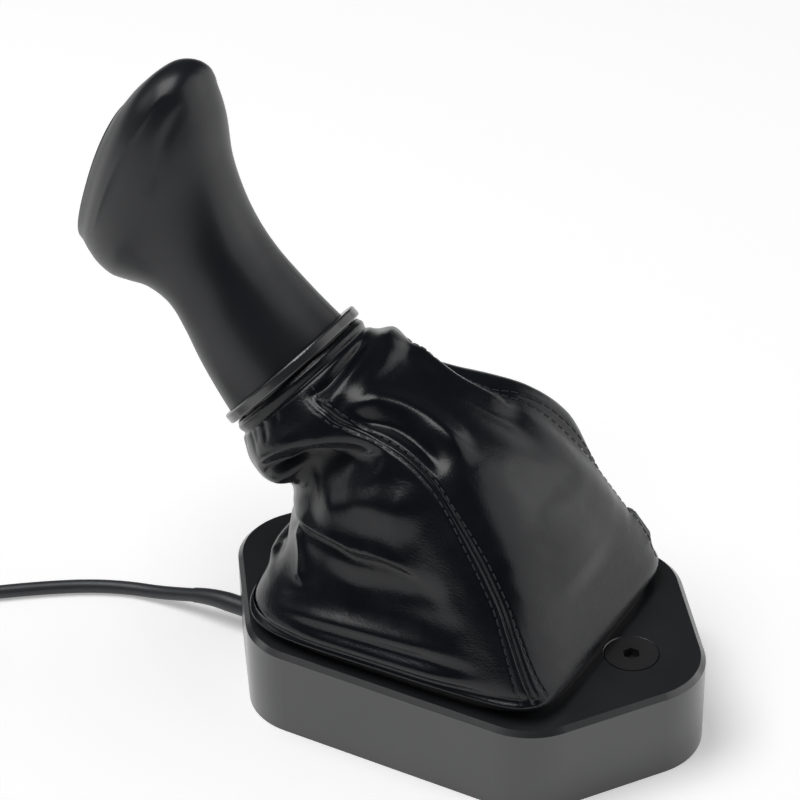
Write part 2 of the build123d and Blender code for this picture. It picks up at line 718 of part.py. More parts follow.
boot_frame = Pos(frame_centre_x, 0, deck_top) * extrude(frame_face(0) - frame_face(frame_band), frame_height)
for x, y in frame_screw_spots:
    boot_frame -= cylinder_z(frame_screw_r + SEAT_GAP, deck_top, deck_top + frame_screw_bite, x, y)
nodes["boot_frame"] = boot_frame
frame_screws = []
for x, y in frame_screw_spots:
    screw = cylinder_z(frame_screw_head_r, deck_under - frame_screw_head, deck_under, x, y)
    screw += cylinder_z(frame_screw_r, deck_under, deck_top + frame_screw_bite - 0.5, x, y)
    frame_screws.append(screw)
group("boot_frame_screws", frame_screws)

# Boot: three sewn panels, each lofted through its share of the rings
hem_along = collar_along - hem_gap
hem_radius = spigot_r + SOFT_GAP + leather
foot_z = deck_top + SOFT_GAP
foot_reach = leather + SOFT_GAP
foot_half_width = frame_half_width + foot_reach
foot_squareness = (foot_nose_squareness, foot_rear_squareness)
nose_foot = Vector(frame_centre_x - frame_half_length - foot_reach, 0, foot_z)
rear_foot = Vector(frame_centre_x + frame_half_length + foot_reach, 0, foot_z)
hem_centre = pivot + axis_dir * hem_along
nose_hem = hem_centre - rear_dir * hem_radius
rear_hem = hem_centre + rear_dir * hem_radius
skirt_along = spigot_low - 1
nose_skirt = pivot + axis_dir * skirt_along - rear_dir * hem_radius
rear_skirt = pivot + axis_dir * skirt_along + rear_dir * hem_radius


def between(start, end, share, out):
    """A point a share of the way from start to end, moved out along X."""
    return start + (end - start) * share + Vector(out, 0, 0)


def boot_outline():
    """The boot's rings between foot and skirt as (nose point, rear point, half width, squareness)."""
    band_top = Vector(0, 0, frame_height + SOFT_GAP)
    foot = (nose_foot + band_top, rear_foot + band_top, foot_half_width, foot_squareness)
    rings = [foot]
    for nose_share, nose_out, rear_share, rear_out, half_width, nose_square, rear_square in boot_rings:
        nose = between(nose_foot, nose_skirt, nose_share, -nose_out)
        rear = between(rear_foot, rear_skirt, rear_share, rear_out)
        rings.append((nose, rear, half_width, (nose_square, rear_square)))
    rings.append((nose_skirt, rear_skirt, hem_radius, (2.0, 2.0)))
    return rings


def panel_face(ring, start, end, count):
    """The cross-section of one panel at a ring, between two angles of its outline."""
    nose, rear, half_width, squareness = ring
    span = rear - nose
    half = span.length / 2
    plane = Plane(origin=(nose + rear) * 0.5, x_dir=span, z_dir=Vector(-span.Z, 0, span.X))
    outer = superellipse(half, half_width, squareness, start, end, count)
    inner = superellipse(half - leather, half_width - leather, squareness, start, end, count)
    edges = [
        Spline(*outer),
        Line(outer[-1], inner[-1]),
        Spline(*inner),
        Line(inner[0], outer[0]),
    ]
    return plane * make_face(edges)


def boot_panel(start_foot, end_foot, start_hem, end_hem):
    """One panel: a straight band around the frame, the body, and a straight skirt on the spigot."""
    count = round((end_foot - start_foot) / seam_point_step) + 1
    body_rings = boot_outline()
    last = len(body_rings) - 1
    faces = []
    for index, ring in enumerate(body_rings):
        start = start_foot + (start_hem - start_foot) * index / last
        end = end_foot + (end_hem - end_foot) * index / last
        faces.append(panel_face(ring, start, end, count))
    foot_ring = (nose_foot, rear_foot, foot_half_width, foot_squareness)
    hem_ring = (nose_hem, rear_hem, hem_radius, (2.0, 2.0))
    band = loft([panel_face(foot_ring, start_foot, end_foot, count), faces[0]], ruled=True)
    skirt = loft([faces[-1], panel_face(hem_ring, start_hem, end_hem, count)], ruled=True)
    return band + loft(faces) + skirt


nodes["boot_rear_panel"] = boot_panel(-seam_angle_foot, seam_angle_foot, -seam_angle_hem, seam_angle_hem)
side_foot = seam_angle_foot + seam_gap_angle
side_hem = seam_angle_hem + seam_gap_angle
nose_seam = 180 - seam_gap_angle / 2
nodes["boot_left_panel"] = boot_panel(side_foot, nose_seam, side_hem, nose_seam)
nodes["boot_right_panel"] = mirror(nodes["boot_left_panel"], about=Plane.XZ)
hem_ring_top = hem_along - hem_ring_below
hem_ring = along_lever(hem_radius + SEAT_GAP + hem_ring_height, hem_ring_top - hem_ring_width, hem_ring_top)
hem_ring -= along_lever(hem_radius + SEAT_GAP, hem_ring_top - hem_ring_width, hem_ring_top)
nodes["hem_ring"] = hem_ring

# Sensor board on the right cheek
sensor_spacers = []
for sx in (-1, 1):
    spacer = cylinder_y(sensor_spacer_r, -cheek_outer, sensor_face, sx * sensor_spacer_x, spacer_z)
    spacer -= cylinder_y(sensor_screw_r + SEAT_GAP, -cheek_outer, sensor_face, sx * sensor_spacer_x, spacer_z)
    sensor_spacers.append(spacer)
group("sensor_spacers", sensor_spacers)
sensor_board = block(
    -sensor_board_half_x,
    sensor_board_half_x,
    sensor_outer,
    sensor_face,
    pivot_z - sensor_board_below,
    pivot_z + sensor_board_above,
)
sensor_screws = []
for sx in (-1, 1):
    x = sx * sensor_spacer_x
    sensor_board -= cylinder_y(sensor_screw_r + SEAT_GAP, sensor_outer, sensor_face, x, spacer_z)
    screw = cylinder_y(sensor_screw_head_r, sensor_outer - sensor_screw_head, sensor_outer, x, spacer_z)
    screw += cylinder_y(sensor_screw_r, sensor_outer, -cheek_outer + sensor_screw_bite - 0.5, x, spacer_z)
    sensor_screws.append(screw)
nodes["sensor_board"] = sensor_board
group("sensor_screws", sensor_screws)
chip_half = sensor_chip_size / 2
nodes["hall_sensor"] = block(
    -chip_half,
    chip_half,
    sensor_face,
    sensor_face + sensor_chip_thickness,
    pivot_z - chip_half,
    pivot_z + chip_half,
)
plug_low = pivot_z - sensor_board_below
plug_high = plug_low + sensor_plug_height
plug_front = sensor_outer - sensor_plug_depth
nodes["sensor_socket"] = block(
    -sensor_plug_half,
    sensor_plug_half,
    plug_front,
    sensor_outer,
    plug_low,
    plug_high,
)

# Controller board on its standoffs
board_low = plate_thickness + standoff_height
board_high = board_low + board_thickness
board = block(
    -board_half_x,
    board_half_x,
    board_y - board_half_y,
    board_y + board_half_y,
    board_low,
    board_high,
)
standoffs = []
board_screws = []
for x, y in board_hole_spots:
    board -= cylinder_z(board_screw_r + SEAT_GAP, board_low, board_high, x, y)
    standoff = cylinder_z(standoff_r, plate_thickness, board_low, x, y)
    standoff -= cylinder_z(board_screw_r + SEAT_GAP, plate_thickness + 0.5, board_low, x, y)
    standoffs.append(standoff)
    screw = cylinder_z(board_screw_head_r, board_high, board_high + board_screw_head, x, y)
    screw += cylinder_z(board_screw_r, plate_thickness + 1, board_high, x, y)
    board_screws.append(screw)
nodes["controller_board"] = board
group("board_standoffs", standoffs)
group("board_screws", board_screws)
chip_x = board_half_x / 2
nodes["controller_chip"] = block(
    chip_x - chip_size / 2,
    chip_x + chip_size / 2,
    board_y - chip_size / 2,
    board_y + chip_size / 2,
    board_high,
    board_high + chip_thickness,
)
usb_socket_x = -board_half_x + board_hole_inset + board_screw_head_r + header_half + 3
header_high = board_high + header_height
board_sockets = [
    block(
        usb_socket_x - header_half,
        usb_socket_x + header_half,
        board_y - header_half,
        board_y + header_half,
        board_high,
        header_high,
    ),
    block(
        -header_half / 2,
        header_half / 2,
        lead_y - header_half,
        lead_y + header_half,
        board_high,
        header_high,
    ),
]
group("board_sockets", board_sockets)

# Sensor lead through its grommet in the deck
grommet = cylinder_z(grommet_r, deck_under - grommet_rim, deck_top + grommet_rim, 0, lead_y)
grommet += cylinder_z(grommet_rim_r, deck_under - grommet_rim, deck_under, 0, lead_y)
grommet += cylinder_z(grommet_rim_r, deck_top, deck_top + grommet_rim, 0, lead_y)
grommet -= cylinder_z(lead_r + RUNNING_GAP, deck_under - grommet_rim, deck_top + grommet_rim, 0, lead_y)
nodes["lead_grommet"] = grommet


def run_radii(points):
    """The largest arc at each corner of a route: 0.45 of the shorter run over tan(half the turn)."""
    radii = []
    for before, corner, after in zip(points, points[1:], points[2:]):
        first = Vector(*corner) - Vector(*before)
        second = Vector(*after) - Vector(*corner)
        turn = first.get_angle(second)
        shorter = min(first.length, second.length)
        radii.append(0.45 * shorter / tan(radians(turn / 2)))
    return radii


def tube_along(name, points, radius):
    """A round tube along a route, and a line of its length and arc radii."""
    radii = run_radii(points)
    path = FilletPolyline(*points, radius=radii)
    start = Plane(origin=path @ 0, z_dir=path % 0)
    solid = sweep(start * Circle(radius), path=path)
    nodes[name] = solid
    expected = pi * radius ** 2 * path.length
    print(name, "length", round(path.length, 1), "volume share", round(solid.volume / expected, 4))
    print(name, "radii", [round(value, 1) for value in radii])


nodes["sensor_lead"] = cylinder_z(lead_r, header_high, plug_low, 0, lead_y)

# Strain relief in the base's wall
relief = cylinder_x(relief_r, relief_taper_from, relief_seat_x, cable_y, cable_z)
relief += cylinder_x(relief_flange_r, relief_seat_x, relief_seat_x + relief_flange, cable_y, cable_z)
droop_radius = relief_taper_reach / sin(radians(relief_droop))
taper_faces = []
for step in range(5):
    share = step / 4
    droop = radians(relief_droop) * share
    station = Plane(
        origin=(
            relief_taper_from - droop_radius * sin(droop),
            cable_y,
            cable_z - droop_radius * (1 - cos(droop)),
        ),
        x_dir=(0, 1, 0),
        z_dir=(-cos(droop), 0, -sin(droop)),
    )
    taper_faces.append(station * Circle(relief_r + (relief_tip_r - relief_r) * share))
relief += loft(taper_faces)
nodes["strain_relief"] = relief

# Cable inside the base, from the strain relief to the board
inner_start_x = relief_seat_x + relief_flange
inner_end_x = usb_socket_x - header_half
inner_end_z = header_high - cable_r - 0.6
inner_points = [
    (inner_start_x, cable_y, cable_z),
    (inner_start_x + inner_cable_straight, cable_y, cable_z),
    (-50.0, -17.6, 10.8),
    (-38.0, -25.2, 12.6),
    (inner_end_x - inner_cable_straight - 1, board_y, inner_end_z),
    (inner_end_x, board_y, inner_end_z),
]
tube_along("inner_cable", inner_points, cable_r)

# Cable outside: down from the strain relief to the table and along it to the coil
cable_points = [
    (-98.0, -14.0, 7.633),
    (-104.7, -14.0, 5.712),
    (-113.5, -14.2, 3.5),
    (-124.5, -15.6, 2.45),
    (-136.7, -20.6, 2.45),
    (-150.0, -28.9, 2.45),
    (-164.5, -39.7, 2.45),
    (-180.5, -52.4, 2.45),
    (-198.4, -67.1, 2.45),
]
tube_along("usb_cable", cable_points, cable_r)

# Coil: one ring with the outer shape of its turns
coil_in = coil_mean_r - coil_columns * cable_r
coil_out = coil_mean_r + coil_columns * cable_r
coil_high = coil_layers * 2 * cable_r
coil = cylinder_z(coil_out, coil_lift, coil_high, coil_x, coil_y)
coil -= cylinder_z(coil_in, coil_lift, coil_high, coil_x, coil_y)
nodes["usb_coil"] = coil

# Tail of the cable from the coil's top turn down to the plug beside it
tail_points = [
    (-188.5, -124.6, 7.2),
    (-180.5, -127.6, 7.2),
    (-171.0, -129.6, 6.7),
    (-161.5, -130.0, 4.3),
    (-152.0, -130.0, 4.3),
]
tube_along("plug_tail", tail_points, cable_r)

# Plug at the end of the tail
tail_end = Vector(*tail_points[-1])
tail_heading = (tail_end - Vector(*tail_points[-2])).normalized()
plug_origin = tail_end + tail_heading * (plug_neck_length + plug_body[0] / 2)
plug_plane = Plane(origin=plug_origin, x_dir=tail_heading, z_dir=(0, 0, 1))
body_half = plug_body[0] / 2
plug_shape = plug_plane * fillet(Box(*plug_body).edges().filter_by(Axis.X), 2.0)
neck_plane = Plane(origin=(-body_half, 0, 0), x_dir=(0, 1, 0), z_dir=(-1, 0, 0))
neck = neck_plane * Pos(0, 0, plug_neck_length / 2) * Cone(plug_neck_r, relief_tip_r, plug_neck_length)
plug_shape += plug_plane * neck
nodes["plug_body"] = plug_shape
shell = Pos(body_half + plug_shell[0] / 2, 0, 0) * Box(*plug_shell)
shell_inside = Pos(body_half + plug_shell[0] / 2, 0, 0) * Box(
    plug_shell[0], plug_shell[1] - 2 * plug_shell_wall, plug_shell[2] - 2 * plug_shell_wall
)
nodes["plug_shell"] = plug_plane * (shell - shell_inside)
tongue_z = plug_shell[2] / 2 - plug_shell_wall - plug_tongue[2] / 2 - 0.05
nodes["plug_tongue"] = plug_plane * Pos(body_half + plug_tongue[0] / 2, 0, tongue_z) * Box(*plug_tongue)

os.makedirs("parts", exist_ok=True)
for name, shape in nodes.items():
    export_step(shape, "parts/" + name + ".step")
print(len(nodes), "nodes")
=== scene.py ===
import json
from math import cos, pi, radians, sin
from typing import NamedTuple

import bpy
import numpy as np
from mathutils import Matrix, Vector


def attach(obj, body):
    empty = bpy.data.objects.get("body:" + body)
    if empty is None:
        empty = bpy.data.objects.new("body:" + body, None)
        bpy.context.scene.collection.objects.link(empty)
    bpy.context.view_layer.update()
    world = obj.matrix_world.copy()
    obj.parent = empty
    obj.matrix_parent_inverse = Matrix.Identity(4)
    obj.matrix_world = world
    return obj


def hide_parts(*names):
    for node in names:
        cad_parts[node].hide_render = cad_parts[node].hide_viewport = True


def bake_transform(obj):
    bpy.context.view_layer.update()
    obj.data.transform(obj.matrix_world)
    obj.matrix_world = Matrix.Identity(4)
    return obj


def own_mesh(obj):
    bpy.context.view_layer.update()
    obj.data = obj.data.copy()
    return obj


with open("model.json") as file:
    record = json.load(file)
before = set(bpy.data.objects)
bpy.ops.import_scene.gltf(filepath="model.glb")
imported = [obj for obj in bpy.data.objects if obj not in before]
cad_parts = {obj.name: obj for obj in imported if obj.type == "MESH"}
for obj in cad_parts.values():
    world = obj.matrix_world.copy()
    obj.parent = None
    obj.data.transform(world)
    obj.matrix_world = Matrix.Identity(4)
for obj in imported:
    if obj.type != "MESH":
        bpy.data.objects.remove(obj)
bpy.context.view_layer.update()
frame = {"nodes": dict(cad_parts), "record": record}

MM = 0.001

# The lever's axis, as in the CAD model, in millimetres
PIVOT = np.array((0.0, 0.0, 46.0))
LEVER_LEAN = radians(47.5)
LEVER_AXIS = np.array((-sin(LEVER_LEAN), 0.0, cos(LEVER_LEAN)))
LEVER_REAR = np.array((cos(LEVER_LEAN), 0.0, sin(LEVER_LEAN)))
SIDE = np.array((0.0, 1.0, 0.0))
COLLAR_TOP = 87.55

# Camera at the photograph's angle, in metres and degrees
CAMERA_PLACE = (0.34162, -0.63858, 0.58211)
CAMERA_TURN = (56.87844, 0.91965, 29.14762)
CAMERA_LENS = 124.387
CAMERA_SENSOR = 36.0
CAMERA_NEAR_CLIP = 0.05


def make_camera():
    data = bpy.data.cameras.new("camera")
    data.lens = CAMERA_LENS
    data.sensor_width = CAMERA_SENSOR
    data.clip_start = CAMERA_NEAR_CLIP
    camera = bpy.data.objects.new("camera", data)
    bpy.context.scene.collection.objects.link(camera)
    camera.location = CAMERA_PLACE
    camera.rotation_euler = [radians(turn) for turn in CAMERA_TURN]
    bpy.context.scene.camera = camera


# Materials
REFRACTION = 1.5
# Colour clouds, in features per metre
CLOUD_SCALE = 35.0


def new_material(name, color, roughness, metallic=0.0, specular=0.5):
    """A material with its node tree, its shader and the object's own coordinates.

    color and roughness hold until a texture is linked in their place.
    """
    material = bpy.data.materials.new(name)
    material.use_nodes = True
    tree = material.node_tree
    shader = tree.nodes["Principled BSDF"]
    shader.inputs["Base Color"].default_value = (*color, 1.0)
    shader.inputs["Roughness"].default_value = roughness
    shader.inputs["Metallic"].default_value = metallic
    shader.inputs["Specular IOR Level"].default_value = specular
    shader.inputs["IOR"].default_value = REFRACTION
    coordinates = tree.nodes.new("ShaderNodeTexCoord")
    return material, tree, shader, coordinates.outputs["Object"]


def noise(tree, vector, scale, detail=3.0, stretch=None):
    """A noise texture's value; scale is in features per metre, and stretch multiplies each axis."""
    if stretch:
        mapping = tree.nodes.new("ShaderNodeMapping")
        mapping.inputs["Scale"].default_value = stretch
        tree.links.new(vector, mapping.inputs["Vector"])
        vector = mapping.outputs["Vector"]
    texture = tree.nodes.new("ShaderNodeTexNoise")
    texture.inputs["Scale"].default_value = scale
    texture.inputs["Detail"].default_value = detail
    tree.links.new(vector, texture.inputs["Vector"])
    return texture.outputs["Fac"]


def spread(tree, value, low, high, from_low=0.3, from_high=0.7):
    """A value mapped from the texture's usual range to low and high."""
    remap = tree.nodes.new("ShaderNodeMapRange")
    remap.inputs["From Min"].default_value = from_low
    remap.inputs["From Max"].default_value = from_high
    remap.inputs["To Min"].default_value = low
    remap.inputs["To Max"].default_value = high
    tree.links.new(value, remap.inputs["Value"])
    return remap.outputs["Result"]


def two_colours(tree, shader, value, dark, light):
    """The base colour varies between dark and light with a value from 0 to 1."""
    mix = tree.nodes.new("ShaderNodeMix")
    mix.data_type = "RGBA"
    mix.inputs["A"].default_value = (*dark, 1.0)
    mix.inputs["B"].default_value = (*light, 1.0)
    tree.links.new(value, mix.inputs["Factor"])
    tree.links.new(mix.outputs["Result"], shader.inputs["Base Color"])


def clouded(tree, shader, place, scale, dark, light):
    """The base colour drifts between dark and light in soft clouds."""
    cloud = noise(tree, place, scale, detail=4.0)
    two_colours(tree, shader, spread(tree, cloud, 0.0, 1.0), dark, light)


def add_bump(tree, shader, height, distance, strength=1.0, under=None):
    """A bump of a given distance in metres, on top of another bump if one is given."""
    bump = tree.nodes.new("ShaderNodeBump")
    bump.inputs["Strength"].default_value = strength
    bump.inputs["Distance"].default_value = distance
    tree.links.new(height, bump.inputs["Height"])
    if under:
        tree.links.new(under, bump.inputs["Normal"])
    tree.links.new(bump.outputs["Normal"], shader.inputs["Normal"])
    return bump.outputs["Normal"]


def satin(name, dark, light, rough, grain, depth=0.00001, metallic=0.0, specular=0.5, stretch=None):
    """A finish with colour and roughness that vary gently, and a fine grain.

    rough is the lowest and the highest roughness, grain is in features per metre, and depth in metres.
    """
    material, tree, shader, place = new_material(name, dark, rough[0], metallic, specular)
    clouded(tree, shader, place, CLOUD_SCALE, dark, light)
    fine = noise(tree, place, grain, detail=2.0, stretch=stretch)
    tree.links.new(spread(tree, fine, *rough), shader.inputs["Roughness"])
    add_bump(tree, shader, fine, depth)
    return material


def sealed(material, weight, roughness):
    """A thin clear layer that shines at a grazing angle."""
    shader = material.node_tree.nodes["Principled BSDF"]
    shader.inputs["Coat Weight"].default_value = weight
    shader.inputs["Coat Roughness"].default_value = roughness
    return material


def anodised():
    dark = (0.012, 0.013, 0.015)
    light = (0.020, 0.021, 0.024)
    finish = satin("black_anodised", dark, light, rough=(0.28, 0.36), grain=2600.0, specular=0.78)
    return sealed(finish, weight=0.42, roughness=0.16)


def metal(name, dark, light, rough, grain, depth=0.00001, stretch=None):
    """A bare metal, with its grain drawn out where stretch says so."""
    return satin(name, dark, light, rough, grain, depth, metallic=1.0, stretch=stretch)


def bare_aluminium():
    dark = (0.52, 0.53, 0.55)
    light = (0.62, 0.63, 0.65)
    drawn = (1.0, 1.0, 8.0)
    return metal("bare_aluminium", dark, light, rough=(0.28, 0.42), grain=900.0, depth=0.00002, stretch=drawn)


def black_steel():
    dark = (0.040, 0.040, 0.043)
    light = (0.055, 0.055, 0.058)
    return satin("black_steel", dark, light, rough=(0.30, 0.42), grain=1800.0, metallic=0.5)


def plain_steel():
    dark = (0.44, 0.44, 0.46)
    light = (0.55, 0.55, 0.57)
    return metal("plain_steel", dark, light, rough=(0.22, 0.34), grain=1200.0, stretch=(1.0, 6.0, 1.0))


def spring_steel():
    dark = (0.34, 0.34, 0.36)
    light = (0.44, 0.44, 0.46)
    return metal("spring_steel", dark, light, rough=(0.26, 0.36), grain=1500.0)


def nickel():
    dark = (0.64, 0.63, 0.60)
    light = (0.72, 0.71, 0.68)
    return metal("magnet_nickel", dark, light, rough=(0.10, 0.18), grain=800.0, depth=0.000005)


def brass():
    dark = (0.66, 0.48, 0.20)
    light = (0.76, 0.58, 0.28)
    return metal("brass", dark, light, rough=(0.24, 0.36), grain=1000.0, stretch=(1.0, 1.0, 10.0))


def plug_steel():
    dark = (0.66, 0.66, 0.68)
    light = (0.76, 0.76, 0.78)
    return metal("plug_steel", dark, light, rough=(0.16, 0.28), grain=900.0)


def rubber(name):
    dark = (0.020, 0.020, 0.020)
    light = (0.032, 0.032, 0.032)
    return satin(name, dark, light, rough=(0.55, 0.75), grain=1600.0, depth=0.00003)


def moulded(name, dark, light, rough):
    return satin(name, dark, light, rough, grain=1400.0, depth=0.00002)


def grip_finish():
    """Satin moulded plastic with a fine spark-eroded texture."""
    middle = (0.02, 0.02, 0.022)
    material, tree, shader, place = new_material("grip_plastic", middle, roughness=0.40, specular=0.42)
    clouded(tree, shader, place, scale=28.0, dark=(0.006, 0.007, 0.010), light=(0.010, 0.011, 0.014))
    fine = noise(tree, place, scale=2400.0, detail=2.0)
    tree.links.new(spread(tree, fine, low=0.36, high=0.46), shader.inputs["Roughness"])
    add_bump(tree, shader, fine, distance=0.000012)
    return sealed(material, weight=0.12, roughness=0.2)


def leather():
    """Semi-gloss grained leather: small cells and a broad unevenness."""
    middle = (0.010, 0.011, 0.014)
    material, tree, shader, place = new_material("boot_leather", middle, roughness=0.32, specular=0.37)
    clouded(tree, shader, place, scale=40.0, dark=(0.003, 0.004, 0.006), light=(0.006, 0.007, 0.010))
    patches = noise(tree, place, scale=110.0)
    tree.links.new(spread(tree, patches, low=0.22, high=0.29), shader.inputs["Roughness"])
    broad = noise(tree, place, scale=180.0)
    under = add_bump(tree, shader, broad, distance=0.00022, strength=0.35)
    cells = tree.nodes.new("ShaderNodeTexVoronoi")
    cells.feature = "DISTANCE_TO_EDGE"
    cells.inputs["Scale"].default_value = 900.0
    tree.links.new(place, cells.inputs["Vector"])
    grain = spread(tree, cells.outputs["Distance"], low=0.0, high=1.0, from_low=0.0, from_high=0.25)
    add_bump(tree, shader, grain, distance=0.00003, strength=0.5, under=under)
    return material


def thread():
    dark = (0.014, 0.015, 0.018)
    light = (0.024, 0.025, 0.029)
    return satin("thread", dark, light, rough=(0.45, 0.60), grain=3000.0, depth=0.00003)


def circuit_board():
    """Green solder resist over a pattern of traces."""
    dark = (0.010, 0.085, 0.035)
    light = (0.02, 0.15, 0.06)
    middle = (0.01, 0.09, 0.04)
    material, tree, shader, place = new_material("circuit_board", middle, roughness=0.25)
    traces = tree.nodes.new("ShaderNodeTexBrick")
    traces.inputs["Scale"].default_value = 180.0
    traces.inputs["Mortar Size"].default_value = 0.03
    tree.links.new(place, traces.inputs["Vector"])
    two_colours(tree, shader, traces.outputs["Fac"], dark, light)
    add_bump(tree, shader, traces.outputs["Fac"], distance=0.00003)
    return material


# Slots of plain plastic: dark and light colour, and the lowest and highest roughness
PLASTIC_ROUGH = (0.35, 0.50)
MOULDED_SLOTS = {
    "roller_acetal": ((0.66, 0.65, 0.60), (0.76, 0.75, 0.70), PLASTIC_ROUGH),
    "frame_plastic": ((0.008, 0.008, 0.009), (0.012, 0.012, 0.013), (0.5, 0.65)),
    "spacer_nylon": ((0.62, 0.62, 0.58), (0.72, 0.72, 0.68), PLASTIC_ROUGH),
    "chip_epoxy": ((0.018, 0.018, 0.018), (0.028, 0.028, 0.028), PLASTIC_ROUGH),
    "connector_nylon": ((0.70, 0.68, 0.60), (0.80, 0.78, 0.70), PLASTIC_ROUGH),
    "lead_jacket": ((0.03, 0.03, 0.03), (0.045, 0.045, 0.045), PLASTIC_ROUGH),
    "cable_jacket": ((0.030, 0.032, 0.037), (0.042, 0.044, 0.049), (0.36, 0.48)),
    "plug_overmould": ((0.024, 0.024, 0.026), (0.036, 0.036, 0.038), PLASTIC_ROUGH),
    "plug_tongue_plastic": ((0.78, 0.78, 0.78), (0.88, 0.88, 0.88), PLASTIC_ROUGH),
}


def node_finishes():
    """Every slot's finish."""
    finishes = {
        "black_anodised": anodised(),
        "bare_aluminium": bare_aluminium(),
        "black_steel": black_steel(),
        "plain_steel": plain_steel(),
        "spring_steel": spring_steel(),
        "magnet_nickel": nickel(),
        "brass": brass(),
        "bumper_rubber": rubber("bumper_rubber"),
        "grip_plastic": grip_finish(),
        "boot_leather": leather(),
        "hem_rubber": rubber("hem_rubber"),
        "circuit_board": circuit_board(),
        "plug_steel": plug_steel(),
    }
    for slot, look in MOULDED_SLOTS.items():
        finishes[slot] = moulded(slot, *look)
    return finishes


def paint_nodes(finishes):
    """Gives every CAD node the finish of its slot."""
    for subpart in frame["record"]["subparts"]:
        item = frame["nodes"][subpart["node"]]
        item.data.materials.clear()
        item.data.materials.append(finishes[subpart["material_slot"]])


# Mesh helpers
def mesh_piece(name, points, faces, material):
    """A smooth mesh object from points in millimetres."""
    data = bpy.data.meshes.new(name)
    data.from_pydata((np.asarray(points) * MM).tolist(), [], faces)
    data.materials.append(material)
    data.polygons.foreach_set("use_smooth", [True] * len(data.polygons))
    data.update()
    piece = bpy.data.objects.new(name, data)
    bpy.context.scene.collection.objects.link(piece)
    return piece


def tube_faces(rows, columns):
    """Faces of a grid whose columns go round and close."""
    faces = []
    for row in range(rows - 1):
        for column in range(columns):
            following = (column + 1) % columns
            low = row * columns
            high = low + columns
            faces.append((low + column, low + following, high + following, high + column))
    return faces


def capped_tube_faces(rows, columns):
    """Faces of a tube with both ends closed."""
    last = (rows - 1) * columns
    first_cap = tuple(range(columns))[::-1]
    last_cap = tuple(range(last, last + columns))
    return tube_faces(rows, columns) + [first_cap, last_cap]


def smooth_rows(table, share):
    """Rows of a table between its own rows, on a smooth curve; share goes from 0 to 1."""
    table = np.asarray(table, float)
    last = len(table) - 1
    place = np.clip(share, 0.0, 1.0) * last
    index = np.clip(np.floor(place).astype(int), 0, last - 1)
    part = (place - index)[..., None]
    before = table[np.clip(index - 1, 0, last)]
    first = table[index]
    second = table[index + 1]
    after = table[np.clip(index + 2, 0, last)]
    slope = second - before
    bend = 2 * before - 5 * first + 4 * second - after
    turn = 3 * (first - second) + after - before
    return first + 0.5 * part * (slope + part * (bend + part * turn))


def ease(value):
    """0 to 1 with level ends."""
    value = np.clip(value, 0.0, 1.0)
    return value * value * (3 - 2 * value)


def outline(angle, squareness):
    """A point of a squared circle: 0 degrees points to the rear and 90 to +Y."""
    turn = np.radians(angle)
    power = 2 / squareness
    along = np.sign(np.cos(turn)) * np.abs(np.cos(turn)) ** power
    across = np.sign(np.sin(turn)) * np.abs(np.sin(turn)) ** power
    return along, across


class Fold(NamedTuple):
    """A fold along a route of (angle, height) points, raised by its rise, or sunk if that is negative.

    above and below are its half widths in millimetres on the route's two sides. A sharp fold has a
    crest, and others are round. ends are the shares of the route over which it fades in and out.
    """

    rise: float
    above: float
    below: float
    route: tuple
    sharp: bool = False
    ends: tuple = (0.25, 0.25)


def nearest_on_line(points, normals, line):
    """Each point's distance from a line, its side and the share of the line travelled there."""
    steps = np.linalg.norm(np.diff(line, axis=0), axis=1)
    travelled = np.concatenate(([0.0], np.cumsum(steps))) / steps.sum()
    best = np.full(len(points), np.inf)
    side = np.zeros(len(points))
    share = np.zeros(len(points))
    for index in range(len(steps)):
        span = line[index + 1] - line[index]
        offset = points - line[index]
        along = np.clip(offset @ span / (span @ span), 0.0, 1.0)
        gap = offset - along[:, None] * span
        distance = np.linalg.norm(gap, axis=1)
        closer = distance < best
        best[closer] = distance[closer]
        turned = np.cross(normals, span)
        side[closer] = np.einsum("ij,ij->i", gap, turned)[closer]
        share[closer] = (travelled[index] + along * (travelled[index + 1] - travelled[index]))[closer]
    return best, side, share


def fade(share, ends):
    """1 along a route, eased to 0 over the shares in ends at its start and at its end."""
    level = np.ones(len(share))
    for part, length in ((share, ends[0]), (1 - share, ends[1])):
        if length:
            level = level * ease(part / length)
    return level


